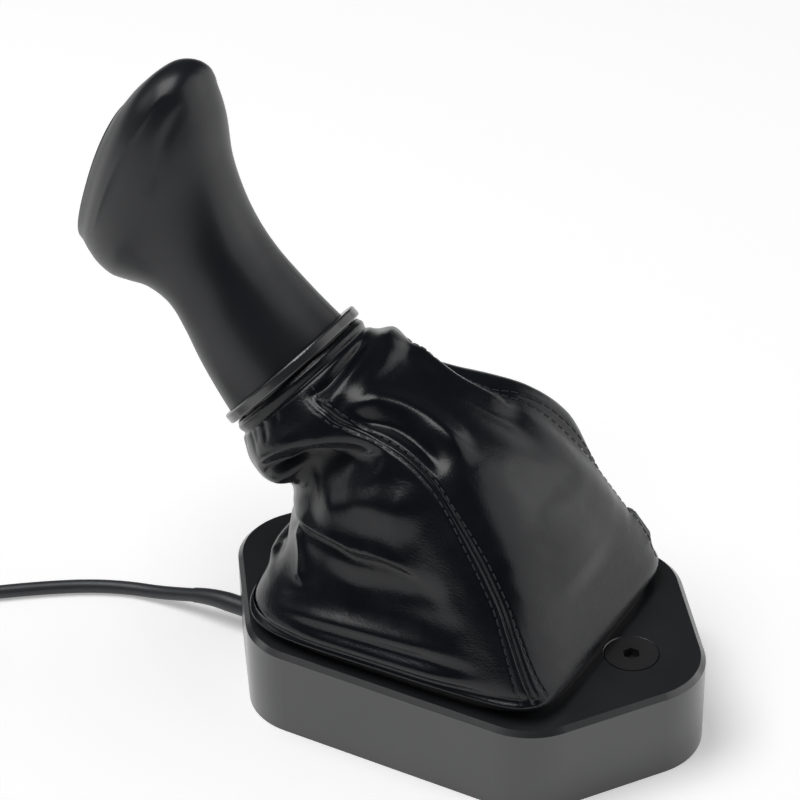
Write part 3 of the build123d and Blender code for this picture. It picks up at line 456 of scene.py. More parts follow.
class Skin:
    """A grid of points round a shape: columns are angles in degrees, and rows are heights.

    The place function gives a point of the smooth shape for an angle and a height, in its own unit.
    """

    # Points of a fold's line per point of its route, and how far a fold reaches, in half widths
    LINE_POINTS = 8
    REACH = 4.0
    # Waves that add up to a ripple, their lengths in pitches and their usual sum
    WAVES = 14
    WAVE_SPREAD = (0.6, 1.6)
    WAVE_SUM = 3.7
    # A normal is divided by its length, but by no less than this
    TINY = 1e-9

    def __init__(self, place, angles, heights):
        self.place = place
        self.angles = angles
        self.heights = heights
        grid_angle, grid_height = np.meshgrid(angles, heights)
        self.points = place(grid_angle, grid_height)
        self.base = self.points.copy()
        self.normals = self.outward(self.points)

    def outward(self, points):
        """The directions that point out of the surface."""
        round_step = np.roll(points, -1, axis=1) - np.roll(points, 1, axis=1)
        up_step = np.gradient(points, axis=0)
        normal = np.cross(round_step, up_step)
        return normal / np.maximum(np.linalg.norm(normal, axis=2, keepdims=True), self.TINY)

    def stroke(self, fold, strength=1.0, mirrored=False):
        """Adds a fold, or its mirror image on the other side."""
        route = np.asarray(fold.route, float)
        if mirrored:
            route = route * (-1.0, 1.0)
        steps = smooth_rows(route, np.linspace(0, 1, self.LINE_POINTS * len(route)))
        line = self.place(steps[:, 0], steps[:, 1])
        reach = self.REACH * max(fold.above, fold.below)
        low = line.min(axis=0) - reach
        high = line.max(axis=0) + reach
        near = np.all((self.base > low) & (self.base < high), axis=2)
        normals = self.normals[near]
        distance, side, share = nearest_on_line(self.base[near], normals, line)
        if mirrored:
            side = -side
        width = np.where(side >= 0, fold.above, fold.below)
        shape = np.exp(-distance / width) if fold.sharp else np.exp(-((distance / width) ** 2))
        rise = fold.rise * strength * shape * fade(share, fold.ends)
        self.points[near] += normals * rise[:, None]

    def ripple(self, height, pitch, seed):
        """A slow unevenness all over, from a sum of seeded waves in space."""
        maker = np.random.default_rng(seed)
        total = np.zeros(self.base.shape[:2])
        for _ in range(self.WAVES):
            heading = maker.normal(size=3)
            heading = heading / np.linalg.norm(heading)
            length = pitch * maker.uniform(*self.WAVE_SPREAD)
            total += np.sin(self.base @ heading * 2 * pi / length + maker.uniform(0, 2 * pi))
        self.points += self.normals * (total * height / self.WAVE_SUM)[..., None]

    def at(self, angle, height):
        """The finished surface's point and outward direction at an angle and a height."""
        count = len(self.angles)
        column = (angle - self.angles[0]) / (self.angles[1] - self.angles[0])
        row = np.interp(height, self.heights, np.arange(len(self.heights)))
        left = int(np.floor(column))
        under = min(int(row), len(self.heights) - 2)
        part = column - left
        rise = row - under
        corners = self.points[[under, under, under + 1, under + 1], [left % count, (left + 1) % count] * 2]
        weights = np.array([(1 - part) * (1 - rise), part * (1 - rise), (1 - part) * rise, part * rise])
        normals = self.outward(self.points[max(under - 1, 0):under + 3])
        normal = normals[min(under, 1), left % count]
        return weights @ corners, normal


# Boot: one leather skin with the folds that the photograph shows
# Rings from the foot to the hem: nose x and z, rear x and z, half width, squareness of the nose half
# and of the rear half
BOOT_RINGS = (
    (-62.0, 31.9, 52.0, 31.9, 49.0, 5.0, 9.0),
    (-62.0, 36.0, 51.6, 38.0, 49.2, 4.8, 8.0),
    (-60.6, 40.5, 48.2, 45.2, 48.6, 4.5, 7.0),
    (-59.0, 45.0, 42.4, 57.7, 45.7, 4.0, 6.0),
    (-57.6, 49.0, 36.9, 70.3, 41.7, 3.6, 5.0),
    (-56.6, 53.0, 29.0, 83.3, 38.0, 3.2, 4.0),
    (-56.2, 57.0, 16.3, 96.5, 34.5, 2.9, 3.4),
    (-56.0, 61.0, 2.0, 104.4, 31.5, 2.6, 3.0),
    (-58.2, 65.7, -12.0, 109.0, 30.0, 2.3, 2.6),
    (-63.0, 66.4, -20.0, 111.5, 30.5, 2.2, 2.3),
    (-67.8, 67.2, -24.6, 113.9, 31.3, 2.1, 2.1),
    (-71.5, 69.2, -28.5, 116.3, 31.0, 2.0, 2.0),
    (-74.1, 72.5, -33.5, 116.7, 29.8, 2.0, 2.0),
    (-75.7, 76.6, -38.0, 117.8, 28.0, 2.0, 2.0),
    (-77.1, 80.3, -41.2, 119.4, 26.6, 2.0, 2.0),
    (-78.6, 83.3, -44.0, 121.1, 25.6, 2.0, 2.0),
)
# Ring at which the leather starts, the mesh's size and the strength of the far side's folds
RIM_START = 0.7
BOOT_COLUMNS = 440
BOOT_ROWS = 260
FAR_STRENGTH = 0.8


def boot_place(angle, ring):
    """The boot's smooth shape, without folds; ring counts the rings from the foot."""
    rows = smooth_rows(BOOT_RINGS, ring / (len(BOOT_RINGS) - 1))
    nose_x, nose_z, rear_x, rear_z, half_width, nose_square, rear_square = np.moveaxis(rows, -1, 0)
    toward_rear = ease(0.5 + 0.5 * np.cos(np.radians(angle)))
    squareness = nose_square + (rear_square - nose_square) * toward_rear
    along, across = outline(angle, squareness)
    x = (nose_x + rear_x) / 2 + along * (rear_x - nose_x) / 2
    z = (nose_z + rear_z) / 2 + along * (rear_z - nose_z) / 2
    return np.stack([x, across * half_width, z], axis=-1)


# Two stitch rows of each seam as (angle, ring), from the hem to the foot
NEAR_SEAM = (
    (
        (-52, 13.5), (-54, 11.2), (-54, 10.1), (-52, 9.1), (-51, 8.1),
        (-50, 7.5), (-50, 7.0), (-51, 6.4), (-53, 5.7), (-55, 5.0),
        (-54, 4.2), (-51, 3.3), (-52, 2.4), (-54, 1.5), (-55, 0.8),
    ),
    (
        (-44, 13.5), (-46, 11.2), (-45, 10.1), (-45, 9.1), (-45, 8.1),
        (-44, 7.5), (-44, 7.0), (-45, 6.4), (-47, 5.7), (-46, 5.0),
        (-43, 4.2), (-37, 3.1), (-33, 2.2), (-29, 1.5), (-26, 0.9),
    ),
)
FAR_SEAM = (
    (
        (44, 10.8), (40, 10.2), (37, 9.5), (34, 8.4), (33, 7.6), (35, 7.0), (40, 6.4),
        (45, 5.7), (47, 5.0), (48, 4.2), (49, 3.3), (50, 2.4), (50, 1.5), (50, 0.8),
    ),
    (
        (36, 10.8), (32, 10.2), (29, 9.5), (26, 8.4), (26, 7.6), (28, 7.0), (33, 6.4),
        (38, 5.7), (40, 5.0), (40, 4.2), (39, 3.1), (36, 2.2), (33, 1.5), (31, 0.9),
    ),
)
SEAM_ENDS = (0.1, 0.02)
# Each seam's groove, the swell beside it and the dent under a row of thread, in millimetres
NEAR_GROOVE = 1.1
FAR_GROOVE = 0.9
GROOVE_HALF = 0.9
SWELL = 0.5
SWELL_HALF = 3.0
DENT = 0.2
DENT_HALF = 0.5

# Folds of the -Y side, which the photograph shows; their routes are (angle, ring) points. The order
# of the folds is from the hem to the foot, and the ones of the nose come last
CUFF_FOLDS = {
    "cuff lip": Fold(
        rise=1.4, above=4.5, below=1.8, ends=(0.45, 0.4),
        route=((-128, 11.3), (-114, 11.3), (-100, 11.3), (-86, 11.1), (-74, 10.7), (-64, 10.1)),
    ),
    "cuff groove": Fold(
        rise=-1.8, above=2.0, below=2.4, ends=(0.5, 0.3),
        route=((-122, 10.7), (-112, 10.65), (-102, 10.55), (-94, 10.4), (-86, 10.2)),
    ),
    "cuff roll": Fold(
        rise=1.6, above=2.6, below=2.2, ends=(0.45, 0.35),
        route=((-132, 9.9), (-120, 9.7), (-110, 9.4), (-100, 9.2), (-90, 9.1), (-82, 9.0)),
    ),
    "neck below the cuff": Fold(
        rise=-2.4, above=2.4, below=2.8, ends=(0.35, 0.4),
        route=((-160, 8.3), (-145, 8.3), (-125, 8.2), (-110, 8.0), (-98, 7.9)),
    ),
}
RECESS_FOLDS = {
    "recess": Fold(
        rise=-6.2, above=3.0, below=11.0, ends=(0.35, 0.4),
        route=((-112, 10.0), (-98, 9.8), (-86, 9.4), (-76, 8.7), (-66, 8.0), (-54, 7.3)),
    ),
    "ridge in the recess": Fold(
        rise=0.6, above=3.0, below=2.2, ends=(0.45, 0.45),
        route=((-88, 7.5), (-76, 7.3), (-64, 7.2), (-54, 7.1)),
    ),
    "rear ridge": Fold(
        rise=3.2, above=5.0, below=3.5,
        route=((-42, 11.0), (-33, 10.0), (-25, 9.1), (-20, 8.35), (-17, 7.7), (-17, 7.2), (-18, 6.2)),
    ),
    "valley beside the rear ridge": Fold(
        rise=-2.0, above=2.6, below=2.6,
        route=((-42, 10.4), (-42, 9.2), (-37, 8.4), (-33, 7.8), (-34, 7.1), (-37, 6.4)),
    ),
}
# The crease is crisp on its lower side, and the pocket is the shallow oval that it ends in
CREASE_FOLDS = {
    "facet": Fold(
        rise=2.8, above=7.0, below=8.0,
        route=((-106, 7.3), (-92, 6.8), (-80, 6.3), (-66, 5.7)),
    ),
    "crease": Fold(
        rise=3.6, above=6.0, below=2.2, sharp=True, ends=(0.3, 0.3),
        route=(
            (-140, 7.3), (-130, 7.05), (-120, 6.7), (-106, 6.17), (-95, 5.67), (-88, 5.0), (-81, 4.33),
        ),
    ),
    "hollow below the crease": Fold(
        rise=-1.4, above=1.8, below=2.6, ends=(0.3, 0.3),
        route=((-132, 6.8), (-122, 6.45), (-107, 5.88), (-96, 5.4), (-88, 4.7), (-82, 4.1)),
    ),
    "upright crease": Fold(
        rise=1.8, above=1.5, below=4.0, sharp=True,
        route=((-123, 6.6), (-118, 5.4), (-112, 4.33), (-106, 3.54)),
    ),
    "pocket": Fold(
        rise=-1.6, above=5.0, below=5.0,
        route=((-104, 4.5), (-90, 4.1), (-74, 3.8)),
    ),
}
FOOT_FOLDS = {
    "broad dip": Fold(
        rise=-1.6, above=5.5, below=4.5, ends=(0.45, 0.4),
        route=((-118, 3.5), (-98, 3.4), (-84, 3.2), (-66, 2.9)),
    ),
    "upper foot fold": Fold(
        rise=1.5, above=3.0, below=3.2, ends=(0.3, 0.45),
        route=((-126, 2.3), (-106, 2.4), (-93, 2.45), (-82, 2.4), (-60, 2.0)),
    ),
    "groove of the foot": Fold(
        rise=-1.3, above=2.4, below=2.4, ends=(0.35, 0.4),
        route=((-124, 2.15), (-100, 2.1), (-84, 2.05), (-66, 1.95)),
    ),
    "lower foot fold": Fold(
        rise=2.2, above=3.6, below=3.6, ends=(0.3, 0.35),
        route=((-130, 1.7), (-108, 1.65), (-91, 1.6), (-74, 1.65), (-56, 1.6)),
    ),
}
# Soft folds of the nose, where the leather gathers between the leaning cuff and the foot
NOSE_FOLDS = {
    "nose lip": Fold(
        rise=0.7, above=3.5, below=3.0, ends=(0, 0.5),
        route=((-200, 6.3), (-170, 6.2), (-150, 6.0), (-130, 5.6)),
    ),
    "nose dip": Fold(
        rise=-1.6, above=3.5, below=3.5, ends=(0, 0.5),
        route=((-200, 5.1), (-172, 5.0), (-152, 4.7), (-128, 4.2)),
    ),
    "nose roll": Fold(
        rise=1.6, above=3.5, below=3.5, ends=(0, 0.5),
        route=((-200, 3.7), (-170, 3.6), (-150, 3.4), (-130, 3.0)),
    ),
}
SIDE_FOLDS = CUFF_FOLDS | RECESS_FOLDS | CREASE_FOLDS | FOOT_FOLDS | NOSE_FOLDS
# Folds of the rear panel and the far side's bulges
REAR_FOLDS = {
    "panel hollow": Fold(
        rise=-2.4, above=8.0, below=8.0, ends=(0.45, 0.45),
        route=((14, 9.4), (14, 8.2), (13, 7.2), (11, 6.2), (8, 5.0)),
    ),
    "panel belly": Fold(
        rise=1.5, above=16.0, below=16.0,
        route=((0, 5.0), (0, 4.0), (0, 2.6)),
    ),
    "valley below the hem": Fold(
        rise=-1.6, above=1.5, below=1.5,
        route=((16, 13.1), (0, 12.9), (-20, 12.7), (-38, 12.5), (-54, 12.7)),
    ),
    "ridge below the hem": Fold(
        rise=1.2, above=2.4, below=2.4,
        route=((10, 11.9), (-12, 11.9), (-28, 11.7), (-42, 11.4), (-52, 11.6)),
    ),
    "cuff's rear bump": Fold(
        rise=3.4, above=4.5, below=4.5, ends=(0.35, 0.4),
        route=((-8, 11.3), (14, 11.7), (38, 11.8), (72, 11.6)),
    ),
    "far bulge": Fold(
        rise=8.0, above=12.0, below=6.0, ends=(0.65, 0.35),
        route=((62, 8.8), (56, 7.9), (54, 7.0), (55, 6.2), (57, 5.4), (58, 4.4), (58, 3.6)),
    ),
    "far foot bulge": Fold(
        rise=2.0, above=8.0, below=8.0,
        route=((58, 2.75), (56, 1.9), (54, 1.1)),
    ),
}


def fold_leather(skin):
    """All the folds; the far side has those of the near side, but weaker."""
    for fold in SIDE_FOLDS.values():
        skin.stroke(fold)
    for fold in SIDE_FOLDS.values():
        skin.stroke(fold, FAR_STRENGTH, mirrored=True)
    for fold in REAR_FOLDS.values():
        skin.stroke(fold)


def even_fold(rise, half_width, route, ends):
    """A fold with the same half width on both sides."""
    return Fold(rise, half_width, half_width, route, ends=ends)


def halfway(rows):
    """The seam's line between its two stitch rows."""
    return tuple(((a[0] + b[0]) / 2, (a[1] + b[1]) / 2) for a, b in zip(*rows))


def stitch_seams(skin):
    """The groove of each seam, with the leather rounded beside it and dented by the thread."""
    for rows, depth in ((NEAR_SEAM, NEAR_GROOVE), (FAR_SEAM, FAR_GROOVE)):
        middle = halfway(rows)
        skin.stroke(even_fold(SWELL, SWELL_HALF, middle, SEAM_ENDS))
        skin.stroke(even_fold(-depth, GROOVE_HALF, middle, SEAM_ENDS))
        for row in rows:
            skin.stroke(even_fold(-DENT, DENT_HALF, row, SEAM_ENDS))


# Routes that stay on one ring: degrees between their points, their rings, angles and ends
ROUTE_STEP = 8
BEAD_RING = 0.86
RIM_GROOVE_RING = 1.22
HEM_GROOVE_RING = 13.85
HEM_SWELL_RING = 14.45
RIM_ANGLES = (-180, -15)
RIM_ENDS = (0, 0.1)
HEM_ANGLES = (-184, 185)
HEM_ENDS = (0, 0)


def level_route(ring, angles):
    """A route that stays on one ring."""
    return tuple((angle, ring) for angle in range(*angles, ROUTE_STEP))


def finish_rim(skin):
    """A bead along the foot and the soft groove above it."""
    low = level_route(BEAD_RING, RIM_ANGLES)
    high = level_route(RIM_GROOVE_RING, RIM_ANGLES)
    bead = even_fold(rise=1.1, half_width=0.9, route=low, ends=RIM_ENDS)
    groove = even_fold(rise=-0.35, half_width=1.3, route=high, ends=RIM_ENDS)
    for mirrored in (False, True):
        skin.stroke(bead, mirrored=mirrored)
        skin.stroke(groove, mirrored=mirrored)


# Pleats below the hem: angles in degrees, top and foot as rings, depth and half width in millimetres.
# Between the angles of PLEAT_FREE, the near seam and the rear panel stay free of them
PLEAT_FREE = (-66, 40)
PLEAT_TOP = 13.7
PLEAT_FOOT = (11.2, 12.6)
PLEAT_DEPTH = (0.10, 0.40)
PLEAT_HALF = 1.3
PLEAT_LEAN = (-6, 6)
PLEAT_STEP = (8, 15)
PLEAT_ENDS = (0.1, 0.6)
PLEAT_SEED = 5


def finish_hem(skin):
    """The groove that the hem's cord presses in, the ring between it and the collar, and the pleats."""
    low = level_route(HEM_GROOVE_RING, HEM_ANGLES)
    high = level_route(HEM_SWELL_RING, HEM_ANGLES)
    skin.stroke(even_fold(rise=-0.9, half_width=0.9, route=low, ends=HEM_ENDS))
    skin.stroke(even_fold(rise=0.35, half_width=0.8, route=high, ends=HEM_ENDS))
    maker = np.random.default_rng(PLEAT_SEED)
    angle = -180.0
    while angle < 180.0:
        depth = maker.uniform(*PLEAT_DEPTH)
        foot = maker.uniform(*PLEAT_FOOT)
        lean = maker.uniform(*PLEAT_LEAN)
        if not PLEAT_FREE[0] < angle < PLEAT_FREE[1]:
            route = ((angle, PLEAT_TOP), (angle + lean, foot))
            skin.stroke(even_fold(-depth, PLEAT_HALF, route, PLEAT_ENDS))
        angle += maker.uniform(*PLEAT_STEP)


# The rim's rolled edge and the hem's turned edge: radius and depth in millimetres, turns in degrees,
# and the hem's shrinking sections as (scale, depth below the hem)
RIM_RADIUS = 0.6
RIM_TURNS = (40, 80, 120, 160)
RIM_DEPTH = 3.0
HEM_SECTIONS = ((0.985, -0.2), (0.96, 0.0), (0.955, 3.0))
# Unevenness of the leather: height and pitch in millimetres, and seed
LEATHER_RIPPLES = ((0.08, 26.0, 11), (0.035, 9.0, 12))


def rolled_rim(foot, outward):
    """Rows that roll the leather's edge in below the foot, and up inside it."""
    rows = []
    for turn in RIM_TURNS:
        drop = sin(radians(turn)) * RIM_RADIUS
        inset = (1 - cos(radians(turn))) * RIM_RADIUS
        rows.append(foot - outward * inset - np.array((0, 0, drop)))
    rows.append(rows[-1] + np.array((0, 0, RIM_DEPTH)))
    return rows[::-1]


def tucked_hem(hem):
    """Rows that turn the leather's edge in at the collar."""
    centre = PIVOT + LEVER_AXIS * ((hem.mean(axis=0) - PIVOT) @ LEVER_AXIS)
    return [centre + (hem - centre) * scale - LEVER_AXIS * depth for scale, depth in HEM_SECTIONS]


def make_boot(material):
    """The boot's leather, with its rim rolled in at the foot and its hem turned in at the collar."""
    angles = np.linspace(-180, 180, BOOT_COLUMNS, endpoint=False)
    rings = np.linspace(RIM_START, len(BOOT_RINGS) - 1, BOOT_ROWS)
    skin = Skin(boot_place, angles, rings)
    fold_leather(skin)
    stitch_seams(skin)
    finish_rim(skin)
    finish_hem(skin)
    for height, pitch, seed in LEATHER_RIPPLES:
        skin.ripple(height, pitch, seed)
    outward = skin.outward(skin.points)
    rows = rolled_rim(skin.points[0], outward[0]) + list(skin.points) + tucked_hem(skin.points[-1])
    faces = tube_faces(len(rows), BOOT_COLUMNS)
    piece = mesh_piece("boot", np.concatenate(rows), faces, material)
    return piece, skin


# Stitches, in millimetres
STITCH_PITCH = 3.1
STITCH_LENGTH = 2.3
STITCH_RADIUS = 0.27
STITCH_SIDES = 6
STITCH_LIFT = 0.02
# Rings of a stitch's rounded end, as turns in degrees, and the share of the radius left at its tip
CAP_TURNS = (90, 50, 0)
CAP_TIP = 0.02
# Points at which a seam is read, and how far to each side its direction is taken
SEAM_SAMPLES = 160
HEADING_REACH = 1.0


def capsule(length, radius, segments):
    """A short rounded rod along X, as points and faces."""
    stations = []
    for end, turns in ((-1, CAP_TURNS), (1, CAP_TURNS[::-1])):
        for turn in turns:
            x = end * (length / 2 - radius * (1 - sin(radians(turn))))
            stations.append((x, radius * max(cos(radians(turn)), CAP_TIP)))
    points = []
    for x, size in stations:
        for step in range(segments):
            turn = 2 * pi * step / segments
            points.append((x, size * cos(turn), size * sin(turn)))
    return np.array(points), capped_tube_faces(len(stations), segments)


def between(place, travelled, points):
    """The point at a place on a line whose points lie at the distances travelled."""
    return np.array([np.interp(place, travelled, points[:, axis]) for axis in range(3)])


def make_stitches(skin, material):
    """Four rows of thread along the two seams."""
    shape, shape_faces = capsule(STITCH_LENGTH, STITCH_RADIUS, STITCH_SIDES)
    points = []
    faces = []
    for row in NEAR_SEAM + FAR_SEAM:
        line = smooth_rows(row, np.linspace(0, 1, SEAM_SAMPLES))
        spots = [skin.at(angle, ring) for angle, ring in line]
        track = np.array([spot[0] for spot in spots])
        outward = np.array([spot[1] for spot in spots])
        steps = np.linalg.norm(np.diff(track, axis=0), axis=1)
        travelled = np.concatenate(([0.0], np.cumsum(steps)))
        place = STITCH_PITCH / 2
        while place < travelled[-1] - STITCH_PITCH / 2:
            here = between(place, travelled, track)
            ahead = between(place + HEADING_REACH, travelled, track)
            behind = between(place - HEADING_REACH, travelled, track)
            heading = (ahead - behind) / np.linalg.norm(ahead - behind)
            out = between(place, travelled, outward)
            out = out / np.linalg.norm(out)
            across = np.cross(out, heading)
            start = len(points) * len(shape)
            points.append(here + out * STITCH_LIFT + shape @ np.array((heading, across, out)))
            faces.extend(tuple(start + corner for corner in face) for face in shape_faces)
            place += STITCH_PITCH
    return mesh_piece("boot_stitches", np.concatenate(points), faces, material)


# Grip: sections from the collar up, as height, tilt, front and rear reach and half width, in
# millimetres and degrees. A section tilts about a point that lies GRIP_HINGE behind the lever's axis
GRIP_HINGE = 10.0
GRIP_BASE = COLLAR_TOP + 0.02
GRIP_SQUARENESS = 2.4
GRIP_SECTIONS = (
    (0.0, 0.0, -24.5, 21.0, 22.0),
    (9.4, 0.0, -22.7, 20.5, 21.0),
    (19.4, 0.0, -20.4, 20.6, 19.7),
    (29.4, 0.0, -17.2, 21.2, 18.4),
    (39.4, 2.0, -15.1, 23.0, 18.1),
    (49.4, 5.0, -18.4, 28.0, 17.8),
    (58.4, 9.0, -24.5, 35.3, 18.5),
    (66.4, 13.0, -28.9, 46.0, 20.2),
    (74.4, 16.0, -31.0, 53.0, 20.6),
    (81.4, 19.0, -31.6, 48.1, 19.0),
    (86.4, 21.0, -32.2, 36.0, 16.0),
    (89.9, 22.0, -33.0, 24.0, 13.6),
)
GRIP_COLUMNS = 220
GRIP_ROWS = 220
# The crown's height, and the degrees between the rows of its dome
CROWN_RISE = 2.2
CROWN_STEP = 9
# The edge of the crown round the head and the soft crease below it, as (angle, share of the height)
CROWN_EDGE = Fold(
    rise=0.9, above=7.0, below=0.9, sharp=True, ends=(0.35, 0.25),
    route=(
        (-122, 0.87), (-104, 0.872), (-83, 0.87), (-58, 0.856), (-34, 0.85), (-24, 0.812), (-16, 0.785),
    ),
)
HEAD_CREASE = Fold(
    rise=-0.9, above=1.6, below=2.4, ends=(0.3, 0.4),
    route=((-78, 0.72), (-66, 0.745), (-54, 0.772), (-42, 0.785), (-28, 0.79), (-14, 0.775)),
)


def grip_place(angle, share):
    """The grip's smooth shape; share is the share of its height."""
    heights = [row[0] for row in GRIP_SECTIONS]
    steps = np.linspace(0, 1, len(heights))
    even = np.interp(share, np.array(heights) / heights[-1], steps)
    rows = smooth_rows(GRIP_SECTIONS, even)
    height, tilt, front, rear, half_width = np.moveaxis(rows, -1, 0)
    along, across = outline(angle, GRIP_SQUARENESS)
    reach = (front + rear) / 2 - GRIP_HINGE + along * (rear - front) / 2
    turn = np.radians(tilt)
    back = GRIP_HINGE + reach * np.cos(turn)
    up = GRIP_BASE + height + reach * np.sin(turn)
    sideways = across * half_width
    shape = back[..., None] * LEVER_REAR + up[..., None] * LEVER_AXIS + sideways[..., None] * SIDE
    return PIVOT + shape


def grip_crown(rim):
    """Rows that close the grip's top with a low dome; the last row is its middle."""
    centre = rim.mean(axis=0)
    rows = []
    for turn in range(CROWN_STEP, 90 + CROWN_STEP, CROWN_STEP):
        scale = cos(radians(turn))
        lift = sin(radians(turn)) * CROWN_RISE
        rows.append(centre + (rim - centre) * scale + LEVER_AXIS * lift)
    return rows


def make_grip(material):
    """The grip with its closed, crowned top."""
    angles = np.linspace(-180, 180, GRIP_COLUMNS, endpoint=False)
    skin = Skin(grip_place, angles, np.linspace(0.0, 1.0, GRIP_ROWS))
    for mirrored in (False, True):
        skin.stroke(CROWN_EDGE, mirrored=mirrored)
        skin.stroke(HEAD_CREASE, mirrored=mirrored)
    crown = grip_crown(skin.points[-1])
    rows = list(skin.points) + crown[:-1]
    points = np.concatenate(rows + [[crown[-1].mean(axis=0)]])
    faces = tube_faces(len(rows), GRIP_COLUMNS)
    last = (len(rows) - 1) * GRIP_COLUMNS
    top = len(points) - 1
    for column in range(GRIP_COLUMNS):
        faces.append((last + column, last + (column + 1) % GRIP_COLUMNS, top))
    faces.append(tuple(range(GRIP_COLUMNS))[::-1])
    return mesh_piece("grip_body", points, faces, material)


# Cord: the route outside the base, in millimetres, as in the CAD model. Its length is in metres
CABLE_POINTS = (
    (-98.0, -14.0, 7.633),
    (-104.7, -14.0, 5.712),
    (-113.5, -14.2, 3.5),
    (-124.5, -15.6, 2.45),
    (-136.7, -20.6, 2.45),
    (-150.0, -28.9, 2.45),
    (-164.5, -39.7, 2.45),
    (-180.5, -52.4, 2.45),
)
TAIL_POINTS = (
    (-180.5, -127.6, 7.2),
    (-171.0, -129.6, 6.7),
    (-161.5, -130.0, 4.3),
    (-152.0, -130.0, 4.3),
)
CORD_RADIUS = 2.4
# Steps of the curve between two points, and how finely it is rounded
CORD_STEPS = 8
CORD_ROUNDING = 6
# The coil's centre, the radius of each turn, where it starts and ends in degrees, and its layers
COIL_CENTRE = (-177.0, -93.0)
COIL_RADII = (33.6, 28.8, 24.0, 19.2, 19.2, 24.0, 28.8, 33.6)
COIL_START = 129.5
COIL_END = 250.0
COIL_LOW = 2.45
COIL_HIGH = 7.2
TURN_POINTS = 20
# Shares of a turn at which its radius starts to change and over which it does, and the turn at
# which the coil climbs to its upper layer
RADIUS_CHANGE = 0.8
CLIMB_START = 3.6
CHANGE_LENGTH = 0.2


def coil_points():
    """The coil's turns: inwards on the lower layer, up, and outwards on the upper one."""
    last = len(COIL_RADII) - 1
    all_turns = last + (COIL_END - COIL_START) / 360
    count = round(all_turns * TURN_POINTS)
    # The curve runs inside its corners, so that they lie a little further out
    corner_out = 1 / cos(pi / TURN_POINTS)
    points = []
    for step in range(count + 1):
        turns = all_turns * step / count
        turn = int(turns)
        part = turns - turn
        following = COIL_RADII[min(turn + 1, last)]
        change = float(ease((part - RADIUS_CHANGE) / CHANGE_LENGTH))
        radius = COIL_RADII[turn] + (following - COIL_RADII[turn]) * change
        rise = float(ease((turns - CLIMB_START) / CHANGE_LENGTH))
        angle = radians(COIL_START + 360 * turns)
        x = COIL_CENTRE[0] + radius * corner_out * cos(angle)
        y = COIL_CENTRE[1] + radius * corner_out * sin(angle)
        points.append((x, y, COIL_LOW + (COIL_HIGH - COIL_LOW) * rise))
    return points


def make_cord(material):
    """The cable, its coil and its tail as one smooth line."""
    route = list(CABLE_POINTS) + coil_points() + list(TAIL_POINTS)
    data = bpy.data.curves.new("cord", "CURVE")
    data.dimensions = "3D"
    data.resolution_u = CORD_STEPS
    data.bevel_depth = CORD_RADIUS * MM
    data.bevel_resolution = CORD_ROUNDING
    data.use_fill_caps = True
    data.materials.append(material)
    spline = data.splines.new("NURBS")
    spline.points.add(len(route) - 1)
    for point, place in zip(spline.points, route):
        point.co = (place[0] * MM, place[1] * MM, place[2] * MM, 1.0)
    spline.order_u = 3
    spline.use_endpoint_u = True
    piece = bpy.data.objects.new("cord", data)
    bpy.context.scene.collection.objects.link(piece)
    return piece


# Return spring, in millimetres, as in the CAD model; pressed is its length with the lever fully pulled
SPRING_START = -24.0
SPRING_END = -5.0
SPRING_HEIGHT = 16.228
SPRING_TURNS = 4.5
SPRING_RADIUS = 7.0
SPRING_WIRE = 0.8
SPRING_STEPS = 180
SPRING_SIDES = 12


def make_spring(material):
    """The coil of wire between the guide block and the plunger's flange, at rest."""
    first = SPRING_START + SPRING_WIRE
    last = SPRING_END - SPRING_WIRE
    points = []
    for step in range(SPRING_STEPS + 1):
        turn = 2 * pi * SPRING_TURNS * step / SPRING_STEPS
        x = first + (last - first) * step / SPRING_STEPS
        for corner in range(SPRING_SIDES):
            around = 2 * pi * corner / SPRING_SIDES
            radius = SPRING_RADIUS + SPRING_WIRE * cos(around)
            height = SPRING_HEIGHT + radius * sin(turn)
            points.append((x + SPRING_WIRE * sin(around), radius * cos(turn), height))
    faces = capped_tube_faces(SPRING_STEPS + 1, SPRING_SIDES)
    return mesh_piece("spring_coil", points, faces, material)


# Floor, world and lights
FLOOR_HALF = 6.0
FLOOR_COLOUR = (0.93, 0.93, 0.93, 1.0)
FLOOR_GLOW = 0.34
WHITE = (1.0, 1.0, 1.0, 1.0)


def floor_finish():
    """Plain and pale; camera and glossy rays also see it glow, so that it stays nearly white."""
    material = bpy.data.materials.new("floor")
    material.use_nodes = True
    tree = material.node_tree
    shader = tree.nodes["Principled BSDF"]
    shader.inputs["Base Color"].default_value = FLOOR_COLOUR
    shader.inputs["Roughness"].default_value = 1.0
    shader.inputs["Specular IOR Level"].default_value = 0.0
    glow = tree.nodes.new("ShaderNodeEmission")
    glow.inputs["Color"].default_value = WHITE
    glow.inputs["Strength"].default_value = FLOOR_GLOW
    rays = tree.nodes.new("ShaderNodeLightPath")
    nothing = tree.nodes.new("ShaderNodeEmission")
    nothing.inputs["Strength"].default_value = 0.0
    mix = tree.nodes.new("ShaderNodeMixShader")
    seen = tree.nodes.new("ShaderNodeMath")
    seen.operation = "MAXIMUM"
    tree.links.new(rays.outputs["Is Camera Ray"], seen.inputs[0])
    tree.links.new(rays.outputs["Is Glossy Ray"], seen.inputs[1])
    tree.links.new(seen.outputs[0], mix.inputs["Fac"])
    tree.links.new(nothing.outputs[0], mix.inputs[1])
    tree.links.new(glow.outputs[0], mix.inputs[2])
    both = tree.nodes.new("ShaderNodeAddShader")
    tree.links.new(shader.outputs[0], both.inputs[0])
    tree.links.new(mix.outputs[0], both.inputs[1])
    tree.links.new(both.outputs[0], tree.nodes["Material Output"].inputs["Surface"])
    return material


